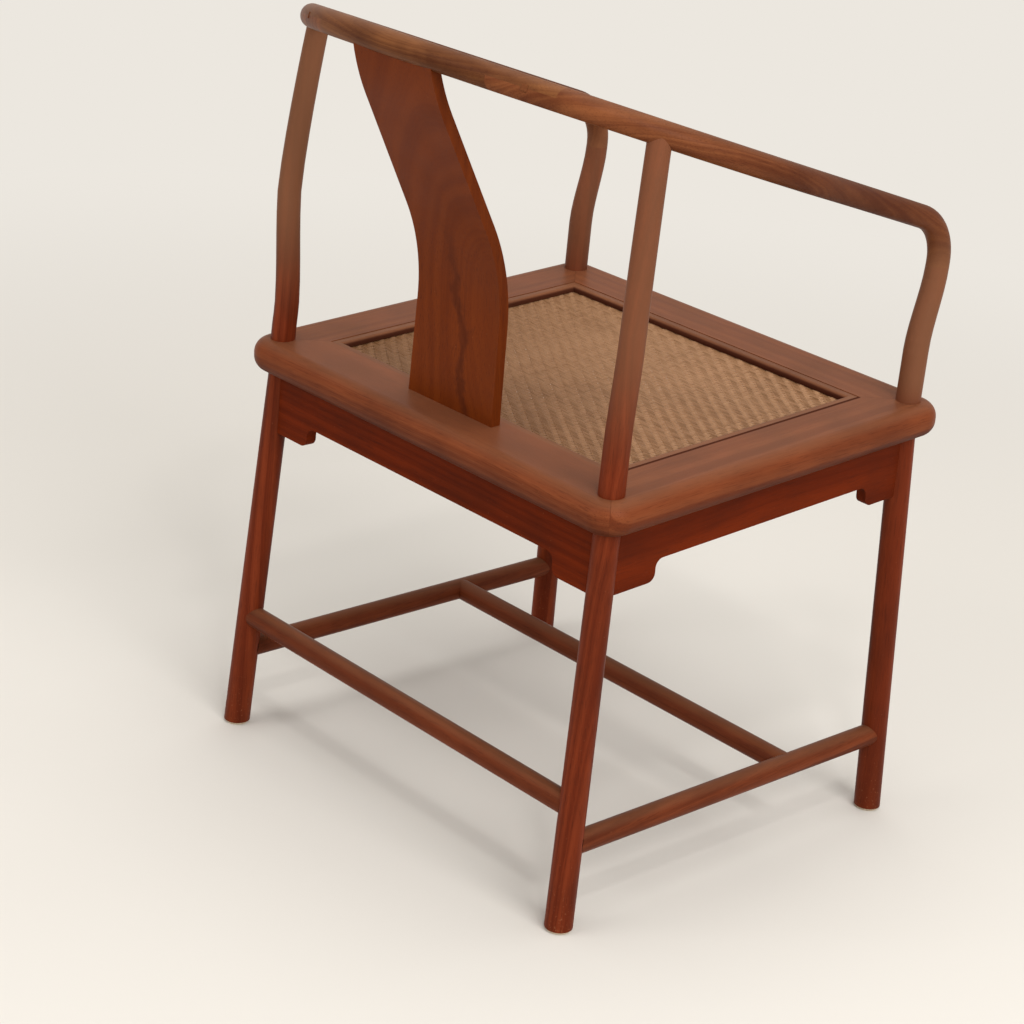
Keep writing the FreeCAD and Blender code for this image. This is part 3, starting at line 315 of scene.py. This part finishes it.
def splat_vein_and_shade():
    """Dark vein in the lower splat: the distance from a line that leans and waves as it rises.

    Painted shade: the edges of the splat, which face to the side, are darker than its broad faces.
    """
    make, given, result = mask("splat vein and edge shade")
    rise = make.math("SUBTRACT", make.axis(given["Place"], "Z"), VEIN_FOOT)
    wave = make.math("SINE", make.math("MULTIPLY", rise, VEIN_WAVES))
    lean = make.math("MULTIPLY_ADD", rise, VEIN_LEAN, VEIN_X)
    line = make.math("ADD", lean, make.math("MULTIPLY", wave, VEIN_SWING))
    beside = make.math("SUBTRACT", make.axis(given["Place"], "X"), line)
    away = make.math("ADD", beside, make.shake(given["Place"], *VEIN_SHAKE))
    near = make.span(make.math("ABSOLUTE", away), *VEIN_WIDTH)
    vein = make.math("MULTIPLY", near, make.span(rise, *VEIN_END))
    vein = make.math("MULTIPLY", vein, VEIN_SHARE)
    # Painted shade on the side faces.
    sideways = make.math("ABSOLUTE", make.axis(given["Facing"], "X"))
    edge = make.math("MULTIPLY", make.span(sideways, *SPLAT_EDGE_FACING), SPLAT_EDGE_SHARE)
    make.link(make.math("MAXIMUM", vein, edge), result["Mask"])
    return make.tree


# Joints of the seat frame: width and share of the mitres; how far the joint of the right strip lies
# past its edge, its width and share; how far the frame turns down to get painted shade, and that
# share.
MITRE_WIDTH = (0.0009, 0.0002)
MITRE_SHARE = 0.35
STRIP_JOINT_PAST = 0.0016
STRIP_JOINT_WIDTH = (0.0028, 0.0014)
STRIP_JOINT_SHARE = 0.85
UNDER_FACING = (0.40, -0.75)
UNDER_SHARE = 0.55


def frame_joints_and_shade():
    """Dark joints of the seat frame, and painted shade under it.

    The mitres are the distance from 45 degree lines through the corners of the ledge.  The joint to
    the right strip is the distance from its outer edge, between the ends of the strips.  Painted
    shade: the wood that faces down is darker, by a smooth step of the upward part of the normal.
    """
    seat = seat_plane()
    make, given, result = mask("frame joints and shade")
    place = make.vector_math("SUBTRACT", given["Place"], tuple(seat.origin))
    depth = make.math("ABSOLUTE", make.measure("DOT_PRODUCT", place, tuple(seat.back)))
    side = make.axis(place, "X")
    gap = make.math("SUBTRACT", make.math("ABSOLUTE", side), depth)
    away = make.math("ABSOLUTE", make.math("SUBTRACT", gap, seat.half_x - seat.half_v))
    mitre = make.math("MULTIPLY", make.span(away, *MITRE_WIDTH), MITRE_SHARE)
    past = make.math("ABSOLUTE", make.math("ADD", side, seat.half_x + STRIP_JOINT_PAST))
    within = make.math("LESS_THAN", depth, seat.half_v)
    strip = make.math("MULTIPLY", make.span(past, *STRIP_JOINT_WIDTH), within)
    joint = make.math("MAXIMUM", mitre, make.math("MULTIPLY", strip, STRIP_JOINT_SHARE))
    # Painted shade on the faces that turn down.
    under = make.span(make.axis(given["Facing"], "Z"), *UNDER_FACING)
    under = make.math("MULTIPLY", under, UNDER_SHARE)
    make.link(make.math("MAXIMUM", joint, under), result["Mask"])
    return make.tree


# How far the edge of a pressing strip turns from level to get painted shade, and the share of that
# shade.
STRIP_EDGE_FACING = (0.92, 0.30)
STRIP_EDGE_SHARE = 0.85


def strip_edge_shade():
    """Painted shade on the rounded inner edge of a strip: a smooth step of the upward part of the
    normal.
    """
    make, given, result = mask("strip edge shade")
    turned = make.span(make.axis(given["Facing"], "Z"), *STRIP_EDGE_FACING)
    make.link(make.math("MULTIPLY", turned, STRIP_EDGE_SHARE), result["Mask"])
    return make.tree


# Shade of the arms: where it begins and is full on the way forward, the heights over the end of a
# hand between which it grows, and its share on the hand and what the arm has more.
ARM_FORWARD = (0.20, -0.05)
ARM_RISE = (0.010, 0.075)
HAND_SHARE = 0.05
ARM_SHARE = 0.50


def hand_end():
    """Height of the ends of the hands, where they meet the front posts."""
    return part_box("rail_arm_right")[0].z


def arm_shade():
    """Darker wood towards the hands: a smooth step of the way forward, less where they turn down."""
    make, given, result = mask("arm shade")
    forward = make.span(make.axis(given["Place"], "Y"), *ARM_FORWARD)
    over_hand = (hand_end() + rise for rise in ARM_RISE)
    level = make.span(make.axis(given["Place"], "Z"), *over_hand)
    share = make.math("MULTIPLY_ADD", level, ARM_SHARE, HAND_SHARE)
    make.link(make.math("MULTIPLY", forward, share), result["Mask"])
    return make.tree


# Dark blotch of the crest: its middle, scale and reach of its shake, its width and its share.
BLOTCH_X = -0.075
BLOTCH_SHAKE = (45.0, 0.10)
BLOTCH_WIDTH = (0.060, 0.015)
BLOTCH_SHARE = 0.34


def crest_blotch():
    """Dark blotch in the crest: a smooth step of the distance from its middle, shaken by noise."""
    make, given, result = mask("crest blotch")
    beside = make.math("SUBTRACT", make.axis(given["Place"], "X"), BLOTCH_X)
    away = make.math("ADD", beside, make.shake(given["Place"], *BLOTCH_SHAKE))
    near = make.span(make.math("ABSOLUTE", away), *BLOTCH_WIDTH)
    make.link(make.math("MULTIPLY", near, BLOTCH_SHARE), result["Mask"])
    return make.tree


def new_material(name):
    """Material with its node helper and its principled shader."""
    material = bpy.data.materials.new(name)
    material.use_nodes = True
    make = Nodes(material.node_tree)
    return material, make, material.node_tree.nodes["Principled BSDF"]


def set_finish(make, shader, color, roughness, relief, strength, depth, sheen):
    """Colour, roughness, relief and specular level of a shader."""
    bump = make.add("Bump", {"Height": relief, "Strength": strength, "Distance": depth})
    make.fill(shader.inputs["Base Color"], color)
    make.fill(shader.inputs["Roughness"], roughness)
    make.fill(shader.inputs["Normal"], bump[0])
    make.fill(shader.inputs["Specular IOR Level"], sheen)


# Wood: how far the grain wanders and the share of the mottle, where a piece has no values of its
# own, the share of the pores, strength and depth of their relief, and the specular level of the
# varnish, which has gone dull on the aprons.
GRAIN = straight_grain()
VARNISH_AND_LIGHT = worn_varnish_and_light()
WANDER = 0.016
MOTTLE_SHARE = 0.35
PORE_SHARE = 0.42
WOOD_RELIEF = (0.12, 0.0003)
SHEEN = 0.05
SHEEN_DULL = 0.02
# Painted light on the upper part of a piece, as on posts lit above the seat: its share, and the
# heights where it begins and is full.
SHADED = (0.0, 0.45, 0.60)


def rosewood(name, kind, along, shift, sunned=SHADED, wander=WANDER, mottle=MOTTLE_SHARE, mark=None):
    """Varnished rosewood whose grain runs along a direction; shift moves the piece in its own plank.

    mark is a group that puts out a mask of dark wood or painted shade, such as a vein, a joint or
    the shade under an edge; it lies over the varnish and is duller than it.
    """
    pale, deep = WOOD[kind]
    material, make, shader = new_material(name)
    place = make.add("TexCoord")
    turn = Vector(along).rotation_difference(Vector(UPRIGHT)).to_euler("XYZ")
    sawn = {"Vector": place["Object"], "Rotation": turn, "Location": shift}
    plank = make.add("Mapping", sawn)[0]
    grain = make.add("Group", {"Vector": plank, "Wander": wander}, node_tree=GRAIN)
    base = make.blend(grain["Figure"], deep, pale)
    base = make.blend(make.math("MULTIPLY", grain["Mottle"], mottle), base, WOOD_VEIN)
    base = make.blend(make.math("MULTIPLY", grain["Pores"], PORE_SHARE), base, WOOD_VEIN)
    where = {"Place": place["Object"], "Facing": place["Normal"]}
    sun = dict(zip(("Lit share", "Shaded at", "Fully lit at"), sunned))
    # The varnish group paints sheen on up-facing faces and light on high parts.
    varnish_and_light = make.add("Group", {"Color": base, **where, **sun}, node_tree=VARNISH_AND_LIGHT)
    color, gloss = varnish_and_light["Color"], varnish_and_light["Roughness"]
    if mark:
        dark = make.add("Group", where, node_tree=mark)["Mask"]
        color = make.blend(dark, color, WOOD_VEIN)
        gloss = make.math("MAXIMUM", dark, gloss)
    relief = make.math("SUBTRACT", 1.0, grain["Pores"])
    sheen = SHEEN_DULL if kind == "apron" else SHEEN
    set_finish(make, shader, color, gloss, relief, *WOOD_RELIEF, sheen)
    return material


# Cane: stretch and scale of its fibres, their share of the tone and that of the strand, and the
# range of both; scale, range and share of the stains; direction, range and share of the painted
# shade that grows to the back left; roughness and its change with the fibres, relief and specular
# level.
FIBRE_STRETCH = (1.0, 14.0, 1.0)
FIBRE_SCALE = 60.0
FIBRE_UNEVEN = 0.6
FIBRE_SHARE = 0.6
STRAND_SHARE = 0.45
CANE_RANGE = (0.05, 0.80)
STAIN_SCALE = 9.0
STAIN_UNEVEN = 0.55
STAIN_RANGE = (0.46, 0.74)
STAIN_SHARE = 0.22
SHADE_SLOPE = (1.0, 1.6, 0.0)
SHADE_RANGE = (-0.35, 0.25)
SHADE_SHARE = 0.52
CANE_ROUGHNESS = 0.38
CANE_FIBRES = 0.25
CANE_RELIEF = (0.25, 0.0003)
CANE_SHEEN = 0.15


def cane():
    """Aged cane: each strand has its own tone, with fine fibres along it, slow stains over all and
    painted shade that grows to the back left.
    """
    material, make, shader = new_material("aged cane")
    place = make.add("TexCoord")
    strand = make.add("Attribute", attribute_name="strand")["Fac"]
    fibre = make.add("Mapping", {"Vector": place["UV"], "Scale": FIBRE_STRETCH})[0]
    streak = make.noise(fibre, FIBRE_SCALE, 3.0, FIBRE_UNEVEN)[0]
    strand = make.math("MULTIPLY", strand, STRAND_SHARE)
    share = make.math("MULTIPLY_ADD", streak, FIBRE_SHARE, strand)
    base = make.blend(make.span(share, *CANE_RANGE), CANE_DEEP, CANE_PALE)
    stain = make.noise(place["Object"], STAIN_SCALE, 4.0, STAIN_UNEVEN)[0]
    stain = make.math("MULTIPLY", make.span(stain, *STAIN_RANGE), STAIN_SHARE)
    # Painted shade, darker towards the back left.
    shade = make.span(make.measure("DOT_PRODUCT", place["Object"], SHADE_SLOPE), *SHADE_RANGE)
    base = make.blend(make.math("MULTIPLY_ADD", shade, SHADE_SHARE, stain), base, CANE_STAIN_AND_SHADE)
    gloss = make.math("MULTIPLY_ADD", streak, CANE_FIBRES, CANE_ROUGHNESS)
    set_finish(make, shader, base, gloss, streak, *CANE_RELIEF, CANE_SHEEN)
    return material


# Felt: scale and range of its fibres, roughness, relief and specular level.
WOOL_SCALE = 900.0
WOOL_UNEVEN = 0.7
WOOL_RANGE = (0.3, 0.7)
FELT_ROUGHNESS = 0.95
FELT_RELIEF = (0.6, 0.0006)
FELT_SHEEN = 0.1


def felt():
    """Pressed wool felt: two tones of fibre noise, rough all over."""
    material, make, shader = new_material("wool felt")
    wool = make.noise(make.add("TexCoord")["Object"], WOOL_SCALE, 4.0, WOOL_UNEVEN)[0]
    base = make.blend(make.span(wool, *WOOL_RANGE), FELT_DEEP, FELT_PALE)
    set_finish(make, shader, base, FELT_ROUGHNESS, wool, *FELT_RELIEF, FELT_SHEEN)
    return material


# Straight pieces: how their names begin, their kind of wood, and how their names end, which tells
# the direction of their length; the legs stand upright.
STRAIGHT = (
    ("seat_rail", "frame", ("front", "back", "left", "right")),
    ("cane_strip", "strip", ("front", "back", "left", "right")),
    ("seat_brace", "apron", ("left", "right")),
    ("apron", "apron", ("front", "back", "left", "right")),
    ("stretcher", "stretcher", ("back", "cross", "left", "right")),
    ("leg", "leg", ("front_left", "front_right", "back_left", "back_right")),
)
LENGTHWAYS = {"front": ACROSS, "back": ACROSS, "cross": ACROSS,
              "left": FORE_AND_AFT, "right": FORE_AND_AFT}
# Painted light on each post above the seat, more where the post is lit more.
LIT_LEGS = {
    "leg_front_left": (0.55, 0.40, 0.52),
    "leg_front_right": (0.74, 0.42, 0.49),
    "leg_back_left": (0.78, 0.45, 0.60),
    "leg_back_right": (0.60, 0.45, 0.60),
}
# Splat: direction of its grain, its place in the plank, wander and mottle.
SPLAT_ALONG = (0.0, 0.12, 1.0)
SPLAT_SHIFT = (0.02, 0.31, 0.4)
SPLAT_WANDER = 0.02
SPLAT_MOTTLE = 0.12
# Rail: wander and mottle, direction of the grain of each arm and share of its painted light, and
# the heights from the end of a hand where the painted light begins and is full.
RAIL_WANDER = 0.026
CREST_MOTTLE = 0.50
ARM_MOTTLE = 0.45
ARMS = {"left": ((0.22, -0.93, -0.29), 0.50), "right": ((-0.22, -0.93, -0.29), 0.66)}
HAND_SHADED = 0.055
HAND_LIT = -0.005


def dress(name, kind, along, shift, title=None, **values):
    """Give a node of the frame its rosewood."""
    material = rosewood("rosewood " + (title or name.replace("_", " ")), kind, along, shift, **values)
    nodes[name].data.materials.clear()
    nodes[name].data.materials.append(material)


def dress_frame():
    """Grain along the length of every wooden piece, each from another place in the plank."""
    draw = np.random.default_rng(SEED)
    marks = {"frame": frame_joints_and_shade(), "strip": strip_edge_shade()}
    for piece, kind, ends in STRAIGHT:
        for end in ends:
            name = piece + "_" + end
            dress(name, kind, LENGTHWAYS.get(end, UPRIGHT), draw.uniform(-1.0, 1.0, 3),
                  sunned=LIT_LEGS.get(name, SHADED), mark=marks.get(kind))
    dress("rail_wedge_pins", "pin", ACROSS, draw.uniform(-1.0, 1.0, 3))
    dress("back_splat", "splat", SPLAT_ALONG, SPLAT_SHIFT, title="splat",
          wander=SPLAT_WANDER, mottle=SPLAT_MOTTLE, mark=splat_vein_and_shade())
    dress("rail_crest", "crest", ACROSS, draw.uniform(-1.0, 1.0, 3),
          wander=RAIL_WANDER, mottle=CREST_MOTTLE, mark=crest_blotch())
    shade = arm_shade()
    for side, (along, bleached) in ARMS.items():
        dress("rail_arm_" + side, "arm", along, draw.uniform(-1.0, 1.0, 3),
              sunned=(bleached, hand_end() + HAND_SHADED, hand_end() + HAND_LIT),
              wander=RAIL_WANDER, mottle=ARM_MOTTLE, mark=shade)


def place_piece(name, mesh, material):
    """Object of a finished mesh, which rides on the chair and has a material slot."""
    mesh.materials.append(material)
    piece = bpy.data.objects.new(name, mesh)
    bpy.context.scene.collection.objects.link(piece)
    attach(piece, "root")
    return piece


def strand_mesh(name, points, faces, tones, chart):
    """Mesh of four-sided faces, with the tone of each strand as an attribute and a map along it."""
    mesh = bpy.data.meshes.new(name)
    mesh.vertices.add(len(points))
    mesh.vertices.foreach_set("co", points.astype(np.float32).ravel())
    mesh.loops.add(faces.size)
    mesh.loops.foreach_set("vertex_index", faces.astype(np.int32).ravel())
    mesh.polygons.add(len(faces))
    mesh.polygons.foreach_set("loop_start", np.arange(0, faces.size, 4, dtype=np.int32))
    mesh.polygons.foreach_set("use_smooth", np.ones(len(faces), dtype=bool))
    mesh.update(calc_edges=True)
    strand = mesh.attributes.new("strand", "FLOAT", "POINT")
    strand.data.foreach_set("value", tones.astype(np.float32).ravel())
    layer = mesh.uv_layers.new(name="strand map")
    layer.data.foreach_set("uv", chart[faces.ravel()].astype(np.float32).ravel())
    mesh.validate()
    return mesh


# Strands: pitch of those that run fore and aft and of those across, thickness, how far each set
# rises and dips, how far the ridges of the twill stand up as a whole, how many strands one passes
# over, how steeply it changes height, and how square its section is across and up.
ALONG_PITCH = 0.0036
ACROSS_PITCH = 0.0025
STRAND_THICK = 0.0009
STRAND_RISE = 0.00050
RIDGE_RISE = 0.00055
TWILL_FLOAT = 3
TWILL_STEEP = 1.5
SECTION_ACROSS = 0.8
SECTION_UP = 0.9
# Unevenness of the strands: drift, sway with its count of waves and its phase, share of the pitch
# that a strand fills, its tone, and how much darker the set across is painted, as shade in the
# furrows.
STRAND_DRIFT = 0.00012
STRAND_SWAY = 0.0002
SWAY_WAVES = (20, 60)
FULL_TURN = 6.3
STRAND_FILL = (0.94, 1.04)
STRAND_TONE = (0.4, 1.0)
STRAND_FURROW_SHADE = 0.6
# Steps of the strand map from strand to strand, along and round it.
MAP_ALONG = 0.7
MAP_ROUND = 3.1
# How far the mat sinks in the middle, and over what distance from its border.
CANE_SAG = 0.0040
CANE_BORDER = 0.090
# Patch of the mat pressed flat by use: its middle across and towards the back, its width and depth,
# and how much of the ridges it takes.
USED_X = 0.080
USED_V = -0.010
USED_WIDTH = 0.190
USED_DEPTH = 0.250
USED_FLAT = 0.92
# Facets round a strand and the two faces that close its end.
STRAND_SIDES = 6
END_FACES = np.array(((0, 1, 2, 5), (2, 3, 4, 5)))


def squared(wave, power):
    """Wave drawn towards a square one: its sign times a power of its size."""
    return np.sign(wave) * np.abs(wave) ** power


def weave(name, material, turned, draw):
    """One set of strands of the mat as closed flat tubes.

    A strand runs along its own axis and passes over three and under three of the other set: its
    height is a steepened sine of the count of crossings, moved one crossing on from strand to strand,
    which gives the slanting ridges of a twill.  The set that is turned runs across and has the
    opposite height, so that it fills the gaps.  Both rise together along the ridges, not under the
    strips and less in a bell-shaped patch that use has pressed flat, and the whole mat sinks by a
    smooth step of the distance from its border.  The set across, which lies in the furrows, is
    painted darker as shade there, less in the pressed patch.
    """
    seat = seat_plane()
    pitch, other = (ACROSS_PITCH, ALONG_PITCH) if turned else (ALONG_PITCH, ACROSS_PITCH)
    side, length = (seat.half_v, seat.half_x) if turned else (seat.half_x, seat.half_v)
    count, steps = int(2 * side / pitch), int(2 * length / other)
    each, shape = (count, 1, 1), (count, steps, STRAND_SIDES)
    index = np.arange(count)[:, None, None]
    along = np.linspace(-length, length, steps)[None, :, None]
    angle = np.linspace(0, 2 * np.pi, STRAND_SIDES, endpoint=False)[None, None, :]

    drift = draw.normal(0.0, STRAND_DRIFT, each)
    waves, phase = draw.uniform(*SWAY_WAVES, each), draw.uniform(0, FULL_TURN, each)
    width = pitch * draw.uniform(*STRAND_FILL, each)
    line = (index - (count - 1) / 2) * pitch + drift + STRAND_SWAY * np.sin(along * waves + phase)
    across = line + width / 2 * squared(np.cos(angle), SECTION_ACROSS)
    run = np.broadcast_to(along, shape)
    x, v = (run, across) if turned else (across, run)

    inner = np.minimum(seat.half_x - np.abs(x), seat.half_v - np.abs(v)) - seat.border
    inside = np.clip(inner / CANE_BORDER, 0, 1)
    sunk = inside * inside * (3 - 2 * inside)
    clear = np.clip(inner / seat.border + 0.5, 0, 1)
    used = ((x - USED_X) / USED_WIDTH) ** 2 + ((v - USED_V) / USED_DEPTH) ** 2
    crisp = 1 - USED_FLAT * np.exp(-used)
    twill = np.sin(np.pi / TWILL_FLOAT * (along / other + index + 0.5))
    twill = np.tanh(TWILL_STEEP * twill) / np.tanh(TWILL_STEEP)
    height = twill * ((-STRAND_RISE if turned else STRAND_RISE) + RIDGE_RISE * clear * crisp)
    height = height + STRAND_THICK / 2 * squared(np.sin(angle), SECTION_UP)
    height = height + CANE_THICK / 2 - CANE_SAG * sunk
    axes = np.array([ACROSS, seat.back, seat.up])
    points = np.array(seat.origin) + np.stack([x, v, height], -1).reshape(-1, 3) @ axes

    ring = np.arange(STRAND_SIDES)
    first = (index * steps + np.arange(steps - 1)[None, :, None]) * STRAND_SIDES
    here, there = first + ring, first + np.roll(ring, -1)
    walls = np.stack([here, there, there + STRAND_SIDES, here + STRAND_SIDES], -1)
    start = index * steps * STRAND_SIDES + END_FACES[:, ::-1]
    end = (index * steps + steps - 1) * STRAND_SIDES + END_FACES
    faces = np.concatenate([part.reshape(-1, 4) for part in (walls, start, end)])
    faces = faces if turned else faces[:, ::-1]

    tones = np.broadcast_to(draw.uniform(*STRAND_TONE, each), shape)
    # Painted shade in the furrows: the set across is darker, less in the pressed patch.
    tones = tones - STRAND_FURROW_SHADE * crisp if turned else tones
    chart = np.stack([np.broadcast_to(along + index * MAP_ALONG, shape),
                      np.broadcast_to(angle / FULL_TURN + index * MAP_ROUND, shape)], -1)
    mesh = strand_mesh(name, points, faces, tones, chart.reshape(-1, 2))
    return place_piece(name, mesh, material)


def cane_mat():
    """Both sets of strands, which stand for the plain mat of the frame."""
    draw = np.random.default_rng(SEED)
    material = cane()
    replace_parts(weave("cane_strands_fore_aft", material, False, draw), "cane_seat")
    weave("cane_strands_across", material, True, draw)


# Felt pads: steps round and up the rim, how far the rim rounds in and how far it bulges.
PAD_TURNS = 48
PAD_STEPS = 9
PAD_ROUND = 0.0015
PAD_BULGE = 0.0010


def felt_pads():
    """Felt pads under the feet, which stand for the plain discs of the frame.

    A half outline turned about the upright axis: flat below and above, with a rim that is half an
    ellipse and bulges past the disc, as felt does under a foot.
    """
    material = felt()
    turn = np.linspace(0, 2 * np.pi, PAD_TURNS, endpoint=False)[None, :]
    rim = np.linspace(-np.pi / 2, np.pi / 2, PAD_STEPS)[:, None]
    ring = np.arange(PAD_TURNS)
    first = np.arange(PAD_STEPS - 1)[:, None] * PAD_TURNS
    here, there = first + ring, first + np.roll(ring, -1)
    walls = np.stack([here, there, there + PAD_TURNS, here + PAD_TURNS], -1).reshape(-1, 4)
    ends = [ring[::-1].tolist(), (ring + (PAD_STEPS - 1) * PAD_TURNS).tolist()]
    for foot in ("front_left", "front_right", "back_left", "back_right"):
        node = "foot_pad_" + foot
        low, high = (np.array(corner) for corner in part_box(node))
        middle, half = (low + high) / 2, (high - low) / 2
        reach = half[0] - PAD_ROUND + (PAD_ROUND + PAD_BULGE) * np.cos(rim)
        height = np.broadcast_to(half[2] * np.sin(rim), (PAD_STEPS, PAD_TURNS))
        grid = np.stack([reach * np.cos(turn), reach * np.sin(turn), height], -1)
        mesh = bpy.data.meshes.new(node + "_felt")
        mesh.from_pydata((middle + grid.reshape(-1, 3)).tolist(), [], walls.tolist() + ends)
        mesh.polygons.foreach_set("use_smooth", [True] * len(walls) + [False] * len(ends))
        piece = place_piece(node + "_felt", mesh, material)
        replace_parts(piece, node)


# Floor: half its size, where it passes into the backdrop, and its roughness.
FLOOR_HALF = 12.0
FLOOR_FADE = (0.8, 2.4)
FLOOR_ROUGHNESS = 0.7


def floor():
    """Plain pale floor that runs out of sight.

    Seen by the camera or in gloss it passes into the glow of the backdrop, by a smooth step of the
    distance from the chair; from below the camera sees through it.
    """
    mesh = bpy.data.meshes.new("floor")
    corners = ((-1, -1), (1, -1), (1, 1), (-1, 1))
    mesh.from_pydata([(x * FLOOR_HALF, y * FLOOR_HALF, 0) for x, y in corners], [], [(0, 1, 2, 3)])
    material, make, shader = new_material("pale floor")
    ray = make.add("LightPath")
    away = make.measure("LENGTH", make.add("TexCoord")["Object"])
    far = make.math("MULTIPLY", make.span(away, *FLOOR_FADE), make.seen(ray))
    below = make.math("MULTIPLY", make.add("NewGeometry")["Backfacing"], ray["Is Camera Ray"])
    make.link(make.blend(far, FLOOR_TONE, BLACK), shader.inputs["Base Color"])
    make.link(make.blend(far, BLACK, BACKDROP), shader.inputs["Emission Color"])
    make.link(make.math("SUBTRACT", 1.0, below), shader.inputs["Alpha"])
    shader.inputs["Emission Strength"].default_value = 1.0
    shader.inputs["Roughness"].default_value = FLOOR_ROUGHNESS
    shader.inputs["Specular IOR Level"].default_value = 0.0
    mesh.materials.append(material)
    ground = bpy.data.objects.new("floor", mesh)
    bpy.context.scene.collection.objects.link(ground)


# Lamps: name, place, size and power of each, and the point that all are turned to.
LAMPS = (
    ("key", (-3.4, 0.7, 2.6), 2.2, 98.0),
    ("fill", (1.0, 3.4, 2.4), 2.2, 38.0),
    ("top", (0.2, -0.6, 3.6), 2.4, 32.0),
    ("window", (-1.5, 1.1, 2.8), 0.25, 12.0),
)
LAMP_AIM = Vector((0.0, 0.0, 0.45))


def turn_towards(thing, place, aim):
    """Put a lamp or camera in its place, turned level towards a point."""
    thing.location = place
    thing.rotation_mode = "QUATERNION"
    thing.rotation_quaternion = (aim - place).to_track_quat("-Z", "Y")
    bpy.context.scene.collection.objects.link(thing)


def studio():
    """Even pale surroundings, seen as the backdrop, and the lamps: key, fill, top and a glint."""
    scene = bpy.context.scene
    world = bpy.data.worlds.new("studio")
    world.use_nodes = True
    make = Nodes(world.node_tree)
    sky = make.blend(make.seen(make.add("LightPath")), SURROUNDINGS, BACKDROP)
    make.link(sky, make.tree.nodes["Background"].inputs["Color"])
    scene.world = world
    for name, place, size, power in LAMPS:
        data = bpy.data.lights.new(name, "AREA")
        data.size = size
        data.energy = power
        turn_towards(bpy.data.objects.new(name, data), Vector(place), LAMP_AIM)
    scene.view_settings.view_transform = "Standard"


# Camera of the photograph: place, a point on its axis, tilt to the side and focal length.
CAMERA_PLACE = Vector((-1.7638, 1.7716, 1.2974))
CAMERA_AIM = Vector((-0.2300, 0.2833, 0.4400))
CAMERA_TILT = math.radians(5.66)
CAMERA_LENS = 91.92


def camera():
    """Camera at the photograph's viewpoint."""
    data = bpy.data.cameras.new("camera")
    data.lens = CAMERA_LENS
    eye = bpy.data.objects.new("camera", data)
    turn_towards(eye, CAMERA_PLACE, CAMERA_AIM)
    eye.rotation_quaternion = eye.rotation_quaternion @ Quaternion(UPRIGHT, CAMERA_TILT)
    bpy.context.scene.camera = eye


camera()
cane_mat()
felt_pads()
dress_frame()
floor()
studio()
